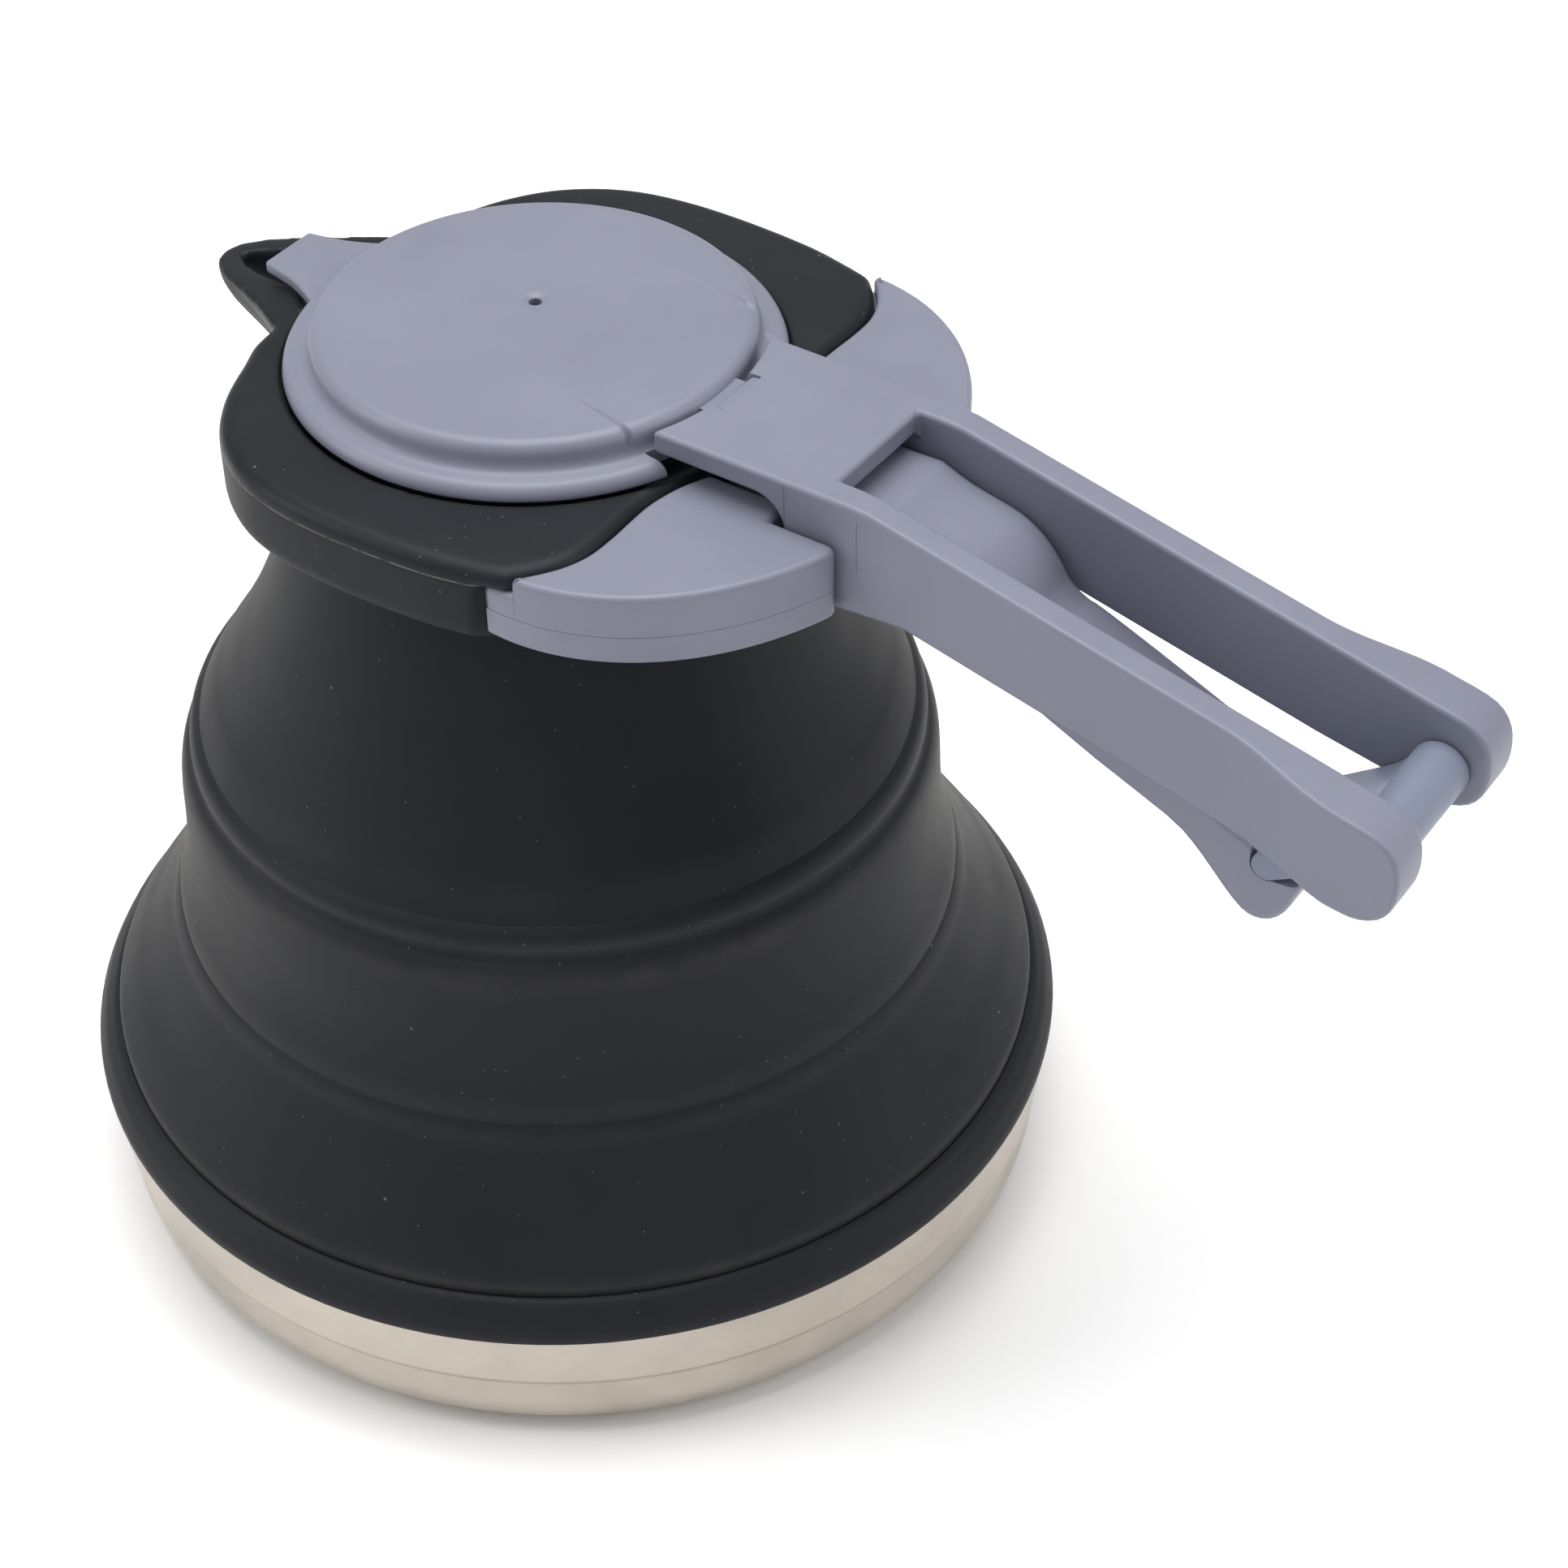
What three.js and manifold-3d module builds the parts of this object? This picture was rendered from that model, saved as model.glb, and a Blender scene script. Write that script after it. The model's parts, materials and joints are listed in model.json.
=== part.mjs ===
// A collapsible camping kettle: a steel pan, a folding silicone body, a rigid yoke with a two-arm
// handle and its brace, and a hinged lid over a soft spout. Millimetres, +Z up, the origin under
// the middle of the pan, the handle towards +X and the spout towards -X.
import * as THREE from 'three';
import { mergeVertices } from 'three/addons/utils/BufferGeometryUtils.js';
import Module from 'manifold-3d';

const wasm = await Module();
wasm.setup();

// Fits, and the steps that round shapes are cut into
const gap = 0.3;
const runningGap = 0.6;
const overrun = 3;
const roundSteps = 54;
const smallSteps = 20;

// Steel pan
const panBandRadius = 81;
const panStep = 0.8;
const panCornerWidth = 9.2;
const panCornerHeight = 9;
const panStepHeight = 13.8;
const panWall = 1;
const panShownHeight = 25.5;
const panRimCover = 2.9;

// Silicone lip over the pan's rim
const lipSkin = 1.2;
const lipInnerWall = 2.1;
const lipHeight = 5.5;
const lipRounding = 1.7;

// Silicone body, from the lip up
const coneWall = 2.5;
const bandWall = 3;
const ridgeStep = 3.6;
const ridgeHeight = 3;
const lowerConeRun = 13.6;
const lowerConeHeight = 25.2;
const bandHeight = 42.2;
const lowRidgeRun = 4;
const lowRidgeDrop = 14.2;
const shoulderRun = 3;
const shoulderDrop = 7;
const bandTopRun = 4.9;
const upperConeHeight = 42.4;
const coneTopStep = 3.3;

// Silicone collar and spout
const collarHeight = 13;
const collarHalfWidth = 50;
const collarFront = 39;
const collarRear = 39.5;
const collarRounding = 2.2;
const mouthLipWidth = 3.1;
const seatGrooveWidth = 7.8;
const seatGrooveDepth = 3;
const spoutRootX = 36;
const spoutLength = 64;
const spoutRootHalfWidth = 16.5;
const spoutWall = 2.6;
const spoutTipDrop = 5.5;

// Stiff mouth ring
const mouthRadius = 28.8;
const mouthRingWall = 2;
const mouthSillHeight = 5;

// Rigid yoke: a ring let into the collar, and two wings in two layers
const yokeRingCover = 2.7;
const yokeRingWall = 4.6;
const yokeRingHeight = 3.6;
const yokeRingHalfDegrees = 135;
const bridgeHalfWidth = 17;
const bridgeClearance = 4;
const wingLowerHeight = 6.2;
const wingUnderStep = 1.6;
const wingRootX = 29;
const wingRearMargin = 7.3;
const wingInset = 3.5;
const wingLead = 5;
const wingSlotGap = 0.5;

// Handle frame
const plateRise = 0.9;
const plateThickness = 3.8;
const plateNoseClearance = 1.1;
const plateUnderFillet = 5;
const armHalfWidth = 14.8;
const armInnerHalfWidth = 10;
const armHeel = 5.1;
const armReach = 93.5;
const armDrop = 33;
const armFlareInset = 25;
const armFlareLength = 13;
const armTipHalfWidth = 18.2;
const slotSetback = 1.5;

// Handle pivot, in the slot between the wings
const pivotBehindHinge = 22.5;
const pivotPinRadius = 2;
const pivotPinHalfLength = 22.5;

// Link between the arm tips and the lower handle
const linkPivotInset = 6.8;
const linkPivotDrop = 12.5;
const linkBarrelRadius = 4.3;
const linkPinRadius = 1.5;
const linkPinHalfLength = 14.6;
const braceSetback = 15.8;
const braceDrop = 24.5;
const bracePinRadius = 2.2;
const notchGap = 0.45;

// Lower handle
const lowerHalfWidth = 9.4;
const hubRadius = 9;

// Link spring
const springWire = 0.9;
const springPitch = 1.5;
const springWholeTurns = 2;
const springLinkLeg = 9;
const springArmLeg = 10;
const springArmLegDegrees = 35;

// Lid
const lidSkirtOver = 0.1;
const lidRingReach = 3.5;
const lidDiscInset = 0.7;
const lidRise = 6.1;
const lidRingHeight = 3.4;
const lidRingDrop = 1;
const lidSeatClearance = 1.6;
const lidEdge = 1.7;
const lidWall = 2.2;
const lidSkirtWall = 2.7;
const lidTrimReach = 0.7;
const ventRadius = 1;
const ventX = -2.6;
const ventY = 3.7;
const tongueReach = 12.5;
const tongueRootHalfWidth = 9.5;
const tongueTipHalfWidth = 5.2;
const tongueThickness = 2;

// Lid hinge
const hingeReach = 2.7;
const knuckleRadius = 1.7;
const knuckleHalfWidth = 4.6;
const hingePinRadius = 0.8;
const hingePinHalfLength = 7.6;

// Lid liner and its seal
const plugClearance = 2;
const plugDepth = 8.2;
const plugWall = 2;
const linerFlange = 1.6;
const sealHeight = 1.8;
const sealSink = 0.8;
const sealDrop = 4.3;

// Screws under the wings
const screwHeadRadius = 2.8;
const screwHeadHeight = 1.8;
const screwShankRadius = 1.5;
const screwSink = 0.6;
const screwBite = 4.5;
const screwSlotWidth = 0.8;
const screwSlotLength = 3.2;

// Levels, each stacked on the one below
const panRimTop = panShownHeight + panRimCover;
const lipTop = panShownHeight + lipHeight;
const lowerConeBottom = lipTop + gap;
const bandBottom = lowerConeBottom + lowerConeHeight + gap;
const bandTop = bandBottom + bandHeight;
const upperConeBottom = bandTop + gap;
const collarBottom = upperConeBottom + upperConeHeight + gap;
const collarTop = collarBottom + collarHeight;
const wingBottom = collarBottom + wingUnderStep;
const wingParting = collarBottom + wingLowerHeight;
const pivotZ = wingParting + gap / 2;
const lidBottom = collarTop + gap;
const lidHeight = collarTop + lidRise;
const plateTop = lidHeight + plateRise;
const armLowest = plateTop - armDrop;
const linkPivotZ = pivotZ - linkPivotDrop;
const braceZ = pivotZ - braceDrop;
const plateBottom = plateTop - plateThickness;
const hingeZ = plateTop - plateThickness / 2;
const lidInside = lidHeight - lidWall;
const linerTop = lidInside - gap;

// Radii and half widths that follow from the sizes above
const panFloorRadius = panBandRadius - panStep - panCornerWidth;
const lipOuterRadius = panBandRadius + gap + lipSkin;
const ridgeRadius = lipOuterRadius - ridgeStep;
const creaseRadius = ridgeRadius - lowerConeRun;
const lowRidgeRadius = creaseRadius - lowRidgeRun;
const shoulderRadius = lowRidgeRadius - shoulderRun;
const bandTopRadius = shoulderRadius - bandTopRun;
const mouthOuter = mouthRadius + mouthRingWall;
const boreRadius = mouthOuter + gap;
const coneTopRadius = boreRadius + coneTopStep;
const mouthLipRadius = boreRadius + mouthLipWidth;
const seatGrooveRadius = mouthLipRadius + seatGrooveWidth;
const yokeRingInner = boreRadius + yokeRingCover;
const wingHalfWidth = collarHalfWidth - wingInset;
const lidSkirtRadius = mouthLipRadius + lidSkirtOver;
const lidRadius = lidSkirtRadius + lidRingReach;
const lidDiscRadius = lidSkirtRadius - lidDiscInset;
const lidTrimRadius = lidSkirtRadius + lidTrimReach;
const plugRadius = mouthRadius - plugClearance;
const sealRadius = mouthRadius - runningGap;
const noseRadius = lidSkirtRadius + plateNoseClearance;
const wingInnerY = armHalfWidth + wingSlotGap;

// Places along X that follow from the pivot and the lid
const hingeX = lidSkirtRadius + hingeReach;
const pivotX = hingeX + pivotBehindHinge;
const armFrontX = pivotX - armHeel;
const slotFrontX = pivotX + slotSetback;
const armTipX = pivotX + armReach;
const armFlareX = armTipX - armFlareInset;
const linkPivotX = armTipX - linkPivotInset;
const braceX = linkPivotX - braceSetback;
const bridgeRear = pivotX - hubRadius - bridgeClearance;
const wingReach = pivotX + wingRearMargin - wingRootX;
const tongueRootX = spoutRootX;
const tongueLength = tongueRootX + tongueReach;

// Colours and finishes
const steel = { color: 0xb9b2aa, roughness: 0.3, metalness: 1 };
const silicone = { color: 0x2b2d30, roughness: 0.75, metalness: 0 };
const plastic = { color: 0x9296a8, roughness: 0.5, metalness: 0 };
const linkPlastic = { color: 0x8892a6, roughness: 0.45, metalness: 0 };
const brightSteel = { color: 0xc4c4c4, roughness: 0.25, metalness: 1 };

// Solids from three.js geometry, and back
function solidOf(geometry) {
  const loose = geometry.index ? geometry.toNonIndexed() : geometry.clone();
  loose.deleteAttribute('normal');
  loose.deleteAttribute('uv');
  const merged = mergeVertices(loose, 1e-4);
  const index = merged.index.array;
  const triangles = [];
  for (let i = 0; i < index.length; i += 3) {
    const [a, b, c] = index.slice(i, i + 3);
    if (a !== b && b !== c && c !== a) triangles.push(a, b, c);
  }
  return new wasm.Manifold(new wasm.Mesh({
    numProp: 3,
    vertProperties: new Float32Array(merged.attributes.position.array),
    triVerts: new Uint32Array(triangles),
  }));
}

function geometryOf(solid) {
  const mesh = solid.getMesh();
  const positions = [];
  for (let i = 0; i < mesh.numVert; i++) {
    const start = mesh.numProp * i;
    positions.push(...mesh.vertProperties.slice(start, start + 3));
  }
  const geometry = new THREE.BufferGeometry();
  geometry.setAttribute('position', new THREE.Float32BufferAttribute(positions, 3));
  geometry.setIndex(Array.from(mesh.triVerts));
  geometry.computeVertexNormals();
  return geometry;
}

function signedArea(points) {
  return points.reduce((sum, [x, y], i) => {
    const [nextX, nextY] = points[(i + 1) % points.length];
    return sum + (x * nextY - nextX * y) / 2;
  }, 0);
}

// A closed (radius, height) profile turned about Z. A profile that touches the axis is opened
// there, so that it starts and ends on the axis.
function turned(profile) {
  const loop = signedArea(profile) > 0 ? profile : [...profile].reverse();
  const start = loop.findIndex(([radius], i) => {
    const [before] = loop[(i + loop.length - 1) % loop.length];
    return radius === 0 && before === 0;
  });
  const points = start < 0 ? [...loop, loop[0]] : [...loop.slice(start), ...loop.slice(0, start)];
  const line = points.map(([radius, z]) => new THREE.Vector2(radius, z));
  const geometry = new THREE.LatheGeometry(line, roundSteps);
  geometry.rotateX(Math.PI / 2);
  return solidOf(geometry);
}

// A plan in (x, y) extruded upwards, with its edges rounded over where an edge is given
function extrudedUp(plan, bottom, top, edge = 0) {
  const shape = new THREE.Shape(plan.map(([x, y]) => new THREE.Vector2(x, y)));
  const geometry = new THREE.ExtrudeGeometry(shape, {
    depth: top - bottom - 2 * edge,
    bevelEnabled: edge > 0,
    bevelThickness: edge,
    bevelSize: edge,
    bevelOffset: -edge,
    bevelSegments: 2,
  });
  geometry.translate(0, 0, bottom + edge);
  return solidOf(geometry);
}

// A side outline in (x, z) extruded across Y, its middle at the given y
function extrudedAcross(outline, halfWidth, y = 0) {
  const shape = new THREE.Shape(outline.map(([x, z]) => new THREE.Vector2(x, z)));
  const geometry = new THREE.ExtrudeGeometry(shape, { depth: 2 * halfWidth, bevelEnabled: false });
  geometry.rotateX(Math.PI / 2);
  geometry.translate(0, y + halfWidth, 0);
  return solidOf(geometry);
}

function block(x0, x1, y0, y1, z0, z1) {
  const geometry = new THREE.BoxGeometry(x1 - x0, y1 - y0, z1 - z0);
  geometry.translate((x0 + x1) / 2, (y0 + y1) / 2, (z0 + z1) / 2);
  return solidOf(geometry);
}

function rodAcross(x, z, radius, halfLength, y = 0) {
  const geometry = new THREE.CylinderGeometry(radius, radius, 2 * halfLength, smallSteps);
  geometry.translate(x, y, z);
  return solidOf(geometry);
}

function rodUp(x, y, radius, bottom, top, steps = smallSteps) {
  const geometry = new THREE.CylinderGeometry(radius, radius, top - bottom, steps);
  geometry.rotateX(Math.PI / 2);
  geometry.translate(x, y, (bottom + top) / 2);
  return solidOf(geometry);
}

// A closed skin through rings of equal point counts, with a cap at each end
function lofted(rings) {
  const count = rings[0].length;
  const corners = [];
  const cap = (ring, flipped) => {
    const middle = [0, 1, 2].map((axis) => ring.reduce((sum, p) => sum + p[axis], 0) / count);
    ring.forEach((point, k) => {
      const next = ring[(k + 1) % count];
      corners.push(middle, ...(flipped ? [next, point] : [point, next]));
    });
  };
  rings.slice(1).forEach((ring, i) => {
    const last = rings[i];
    ring.forEach((point, k) => {
      const next = (k + 1) % count;
      corners.push(last[k], point, last[next], last[next], point, ring[next]);
    });
  });
  cap(rings[0], false);
  cap(rings.at(-1), true);
  const geometry = new THREE.BufferGeometry();
  geometry.setAttribute('position', new THREE.Float32BufferAttribute(corners.flat(), 3));
  const solid = solidOf(geometry);
  return solid.volume() > 0 ? solid : lofted([...rings].reverse());
}

function arc(centreX, centreY, radius, fromDegrees, toDegrees, steps) {
  return Array.from({ length: steps + 1 }, (_, i) => {
    const degrees = fromDegrees + (toDegrees - fromDegrees) * i / steps;
    const angle = THREE.MathUtils.degToRad(degrees);
    return [centreX + radius * Math.cos(angle), centreY + radius * Math.sin(angle)];
  });
}

function smoothLine(points, steps) {
  const curve = new THREE.SplineCurve(points.map(([x, y]) => new THREE.Vector2(x, y)));
  return curve.getPoints(steps).map(({ x, y }) => [x, y]);
}

function mirrored(points) {
  return [...points].reverse().map(([x, y]) => [x, -y]);
}

function bothSides(solid) {
  return solid.add(solid.mirror([0, 1, 0]));
}

const group = new THREE.Group();

function addNode(name, solid, look) {
  const mesh = new THREE.Mesh(geometryOf(solid), new THREE.MeshStandardMaterial(look));
  mesh.name = name;
  group.add(mesh);
}

// Steel pan: a flat floor, a rounded corner, a low wall, and a slightly wider band above it
function panWallLine(inset) {
  const lowRadius = panBandRadius - panStep;
  const cornerWidth = lowRadius - panFloorRadius;
  const corner = arc(0, 0, 1, -90, 0, 5).map(([across, up]) => [
    panFloorRadius + (cornerWidth - inset) * across,
    panCornerHeight + (panCornerHeight - inset) * up,
  ]);
  return [
    ...corner,
    [lowRadius - inset, panStepHeight],
    [panBandRadius - inset, panStepHeight + panStep],
    [panBandRadius - inset, panRimTop],
  ];
}

function basePan() {
  return turned([[0, 0], ...panWallLine(0), ...panWallLine(panWall).reverse(), [0, panWall]]);
}

// The lip grips both faces of the pan's rim
function lipBand() {
  const grooveOuter = panBandRadius + gap;
  const grooveInner = panBandRadius - panWall - gap;
  const outer = lipOuterRadius;
  const inner = grooveInner - lipInnerWall;
  return turned([
    [grooveOuter, panShownHeight],
    [outer, panShownHeight],
    ...arc(outer - lipRounding, lipTop - lipRounding, lipRounding, 0, 90, 3),
    [inner, lipTop],
    [inner, panShownHeight],
    [grooveInner, panShownHeight],
    [grooveInner, panRimTop + gap],
    [grooveOuter, panRimTop + gap],
  ]);
}

// A wall of even thickness inside an outer line
function walled(outside, wall) {
  const inside = outside.map(([radius, z]) => [radius - wall, z]);
  return turned([...outside, ...inside.reverse()]);
}

function lowerCone() {
  const flareShares = [[0.43, 0.49], [0.7, 0.75]];
  const start = ridgeRadius - ridgeHeight / 3;
  const rise = lowerConeHeight - ridgeHeight;
  return walled([
    [ridgeRadius, lowerConeBottom],
    [ridgeRadius, lowerConeBottom + ridgeHeight / 3],
    [start, lowerConeBottom + ridgeHeight],
    ...flareShares.map(([up, along]) => [
      start - (start - creaseRadius) * along,
      lowerConeBottom + ridgeHeight + rise * up,
    ]),
    [creaseRadius, lowerConeBottom + lowerConeHeight],
  ], coneWall);
}

function middleBand() {
  const ridgeZ = bandTop - lowRidgeDrop;
  const shoulderZ = bandTop - shoulderDrop;
  const flareShares = [[0.17, 0.46], [0.36, 0.72], [0.7, 0.88]];
  return walled([
    [creaseRadius, bandBottom],
    ...flareShares.map(([up, along]) => [
      creaseRadius - (creaseRadius - lowRidgeRadius) * along,
      bandBottom + (ridgeZ - bandBottom) * up,
    ]),
    [lowRidgeRadius, ridgeZ],
    [(lowRidgeRadius + shoulderRadius) / 2, (2 * ridgeZ + shoulderZ) / 3],
    [shoulderRadius, shoulderZ],
    [(2 * shoulderRadius + bandTopRadius) / 3, (shoulderZ + bandTop) / 2],
    [bandTopRadius, bandTop],
  ], bandWall);
}

function upperCone() {
  const flareShares = [[0, 0], [0.2, 0.25], [0.44, 0.49], [0.68, 0.71], [1, 1]];
  return walled(flareShares.map(([up, along]) => [
    bandTopRadius - (bandTopRadius - coneTopRadius) * along,
    upperConeBottom + upperConeHeight * up,
  ]), coneWall);
}

// The collar's plan has a broad front, bulging sides and an S-shaped edge before each wing.
// Shares are of the front's or rear's reach along X and of the half width along Y.
function wingEdgeLine() {
  const edgeShares = [
    [0.745, 0.93], [0.84, 0.83], [0.895, 0.72], [0.92, 0.6], [0.925, 0.48], [0.95, 0.36], [1, 0.28],
  ];
  return smoothLine(edgeShares.map(([x, y]) => [x * collarRear, y * collarHalfWidth]), 12);
}

function collarPlan() {
  const frontShares = [
    [-1, 0], [-0.99, 0.36], [-0.93, 0.5], [-0.83, 0.68], [-0.68, 0.83], [-0.46, 0.94],
    [-0.2, 0.99], [0.1, 1], [0.42, 0.985], [0.62, 0.955], [0.745, 0.93],
  ];
  const front = smoothLine(frontShares.map(([x, y]) => (
    [x * (x < 0 ? collarFront : collarRear), y * collarHalfWidth]
  )), 24);
  const side = [...front, ...wingEdgeLine().slice(1)];
  return [...side, ...mirrored(side).slice(0, -1)];
}

// Stations along the spout: how far along it, then its half width, depth and drop at the rim
const spoutShares = [
  [0, 1, 1, 0], [0.23, 0.83, 1, 0.1], [0.46, 0.66, 0.93, 0.3], [0.69, 0.5, 0.8, 0.55],
  [0.86, 0.34, 0.66, 0.8], [0.96, 0.18, 0.56, 0.95], [1, 0.06, 0.5, 1],
];

function spoutSection([along, width, depth, drop]) {
  return {
    x: -spoutRootX - (spoutLength - spoutRootX) * along,
    halfWidth: spoutRootHalfWidth * width,
    rim: collarTop - spoutTipDrop * drop,
    low: collarTop - collarHeight * depth,
  };
}

function spoutOuter() {
  const ring = ({ x, halfWidth, rim, low }) => arc(0, 0, 1, 180, 360, 12).map(([across, down]) => (
    [x, halfWidth * across, rim + (rim - low) * down]
  ));
  const sections = spoutShares.map(spoutSection);
  const root = { ...sections[0], x: -mouthLipRadius * Math.SQRT1_2 - spoutWall };
  return lofted([root, ...sections].map(ring));
}

// The open channel inside the spout keeps an even wall
function spoutChannel() {
  const ring = ({ x, halfWidth, rim, low }) => {
    const width = halfWidth - spoutWall;
    const depth = rim - low - spoutWall;
    const trough = arc(0, 0, 1, 180, 360, 12).map(([across, down]) => (
      [x, width * across, rim + depth * down]
    ));
    return [[x, -width, collarTop + overrun], ...trough, [x, width, collarTop + overrun]];
  };
  const sections = spoutShares.map(spoutSection).filter(({ halfWidth }) => halfWidth > 2 * spoutWall);
  const root = { ...sections[0], x: -mouthRadius + overrun };
  return lofted([root, ...sections].map(ring));
}

function seatGroove() {
  const groove = collarTop - seatGrooveDepth;
  return turned([
    [mouthLipRadius, collarTop + overrun],
    [mouthLipRadius, groove],
    [(mouthLipRadius + seatGrooveRadius) / 2, groove],
    [seatGrooveRadius, collarTop],
    [seatGrooveRadius, collarTop + overrun],
  ]);
}

// The yoke's ring wraps the neck and stops short of the spout
function yokeRing(fit) {
  const inner = yokeRingInner - fit;
  const outer = yokeRingInner + yokeRingWall + fit;
  const half = yokeRingHalfDegrees + THREE.MathUtils.radToDeg(fit / inner);
  const plan = [...arc(0, 0, outer, -half, half, 44), ...arc(0, 0, inner, half, -half, 44)];
  return extrudedUp(plan, wingParting - yokeRingHeight - fit, wingParting + fit);
}

function yokeBridge(fit) {
  const front = yokeRingInner + yokeRingWall / 2 - fit;
  const half = bridgeHalfWidth + fit;
  return block(front, bridgeRear + fit, -half, half, wingBottom - fit, wingParting + fit);
}

// The front edge of a wing, drawn forwards at its outer end by the lead
function wingFrontLine(lead, offset) {
  return wingEdgeLine().filter(([, y]) => y > wingInnerY).map(([x, y]) => {
    const outwards = (y - wingInnerY) / (wingHalfWidth - wingInnerY);
    return [x + offset - lead * outwards ** 2, y];
  });
}

function wing(lead, bottom, top) {
  const [[frontX], ...front] = wingFrontLine(lead, gap);
  const from = THREE.MathUtils.radToDeg(Math.asin(wingInnerY / wingHalfWidth));
  const to = THREE.MathUtils.radToDeg(Math.acos((frontX + gap - wingRootX) / wingReach));
  const outer = arc(0, 0, 1, from, to, 18).map(([x, y]) => (
    [wingRootX + wingReach * x, wingHalfWidth * y]
  ));
  return extrudedUp([...outer, ...front, [front.at(-1)[0], wingInnerY]], bottom, top);
}

// What the lower layer of a wing takes out of the collar
function wingPocket() {
  const front = wingFrontLine(wingLead, 0);
  const farY = collarHalfWidth + overrun;
  const farX = collarRear + overrun;
  const plan = [[front[0][0], farY], ...front, [front.at(-1)[0], 0], [farX, 0], [farX, farY]];
  return bothSides(extrudedUp(plan, collarBottom - overrun, wingParting + gap));
}

function collar() {
  const bore = rodUp(0, 0, boreRadius, collarBottom - overrun, collarTop + overrun, roundSteps);
  return extrudedUp(collarPlan(), collarBottom, collarTop, collarRounding)
    .add(spoutOuter())
    .subtract(bore)
    .subtract(seatGroove())
    .subtract(spoutChannel())
    .subtract(yokeRing(gap))
    .subtract(yokeBridge(gap))
    .subtract(wingPocket());
}

// A stiff ring keeps the mouth round, with a window into the spout
function mouthRing() {
  const half = spoutRootHalfWidth - spoutWall;
  const sill = collarBottom + mouthSillHeight;
  return turned([
    [mouthRadius, collarBottom + gap],
    [mouthOuter, collarBottom + gap],
    [mouthOuter, collarTop],
    [mouthRadius, collarTop],
  ]).subtract(block(-mouthOuter - overrun, 0, -half, half, sill, collarTop + overrun));
}

// Screw places in the left wing, as shares of its reach and of its width there
function screwPlaces() {
  const placeShares = [[0.34, 0.54], [0.63, 0.56]];
  return placeShares.map(([along, across]) => {
    const outer = wingHalfWidth * Math.sqrt(1 - along ** 2);
    return [wingRootX + wingReach * along, wingInnerY + (outer - wingInnerY) * across];
  });
}

function screwHoles() {
  const headTop = wingBottom + screwSink + screwHeadHeight + gap;
  const holes = screwPlaces().map(([x, y]) => (
    rodUp(x, y, screwHeadRadius + gap, wingBottom - overrun, headTop)
      .add(rodUp(x, y, screwShankRadius + gap, wingBottom, wingParting + screwBite + gap))
  ));
  return bothSides(holes[0].add(holes[1]));
}

function pivotHole() {
  return rodAcross(pivotX, pivotZ, pivotPinRadius + gap, pivotPinHalfLength + gap);
}

function yokeLower() {
  return bothSides(wing(wingLead, wingBottom, wingParting))
    .add(yokeRing(0))
    .add(yokeBridge(0))
    .subtract(screwHoles())
    .subtract(pivotHole());
}

function wingCover() {
  return wing(0, wingParting + gap, collarTop).subtract(screwHoles()).subtract(pivotHole());
}

function wingScrew([x, y]) {
  const headBottom = wingBottom + screwSink;
  const slotTop = headBottom + screwSlotWidth;
  const long = screwSlotLength / 2;
  const short = screwSlotWidth / 2;
  return rodUp(x, y, screwHeadRadius, headBottom, headBottom + screwHeadHeight)
    .add(rodUp(x, y, screwShankRadius, headBottom, wingParting + screwBite))
    .subtract(block(x - long, x + long, y - short, y + short, headBottom - overrun, slotTop))
    .subtract(block(x - short, x + short, y - long, y + long, headBottom - overrun, slotTop));
}

// The frame's side, as shares of the reach from the pivot to the tip and of the drop from the
// plate's top to the lowest point of the arms
function armSide() {
  const topShares = [
    [0.947, 0.539], [0.972, 0.585], [0.991, 0.655], [1, 0.733], [0.999, 0.818], [0.991, 0.897],
  ];
  const lowShares = [
    [0.975, 0.958], [0.95, 0.994], [0.923, 1], [0.889, 0.988], [0.84, 0.946], [0.722, 0.885],
    [0.159, 0.536],
  ];
  const reach = armTipX - pivotX;
  const drop = plateTop - armLowest;
  return [...topShares, ...lowShares].map(([x, z]) => [pivotX + reach * x, plateTop - drop * z]);
}

function frameSide() {
  const heel = armHeel;
  const fillet = plateUnderFillet;
  return [
    ...armSide(),
    ...arc(pivotX, pivotZ, heel, -90, -180, 5),
    ...arc(armFrontX - fillet, plateBottom - fillet, fillet, 0, 90, 5),
    [0, plateBottom],
    [0, plateTop],
    [pivotX + heel, plateTop],
    [pivotX + heel + plateThickness, plateTop - gap],
  ];
}

function framePlan() {
  const side = [
    [armTipX + overrun, armTipHalfWidth],
    [armFlareX + armFlareLength, armTipHalfWidth],
    [armFlareX, armHalfWidth],
    [0, armHalfWidth],
  ];
  return [...side, ...mirrored(side)];
}

function handleFrame() {
  const above = plateTop + overrun;
  const inner = armInnerHalfWidth;
  const knuckle = knuckleHalfWidth + gap;
  const knuckleRear = hingeX + knuckleRadius + runningGap;
  const lidRoom = rodUp(0, 0, noseRadius, plateBottom - overrun, above, roundSteps);
  const slot = block(slotFrontX, armTipX + overrun, -inner, inner, 0, above);
  const under = block(armFrontX - plateUnderFillet, slotFrontX + overrun, -inner, inner, 0, plateBottom);
  const notch = block(0, knuckleRear, -knuckle, knuckle, plateBottom - overrun, above);
  return extrudedAcross(frameSide(), armTipHalfWidth)
    .intersect(extrudedUp(framePlan(), 0, above))
    .subtract(lidRoom)
    .subtract(slot)
    .subtract(under)
    .subtract(notch)
    .subtract(rodAcross(hingeX, hingeZ, hingePinRadius + gap, hingePinHalfLength + gap))
    .subtract(rodAcross(linkPivotX, linkPivotZ, linkPinRadius + gap, linkPinHalfLength + gap))
    .subtract(pivotHole());
}

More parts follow.
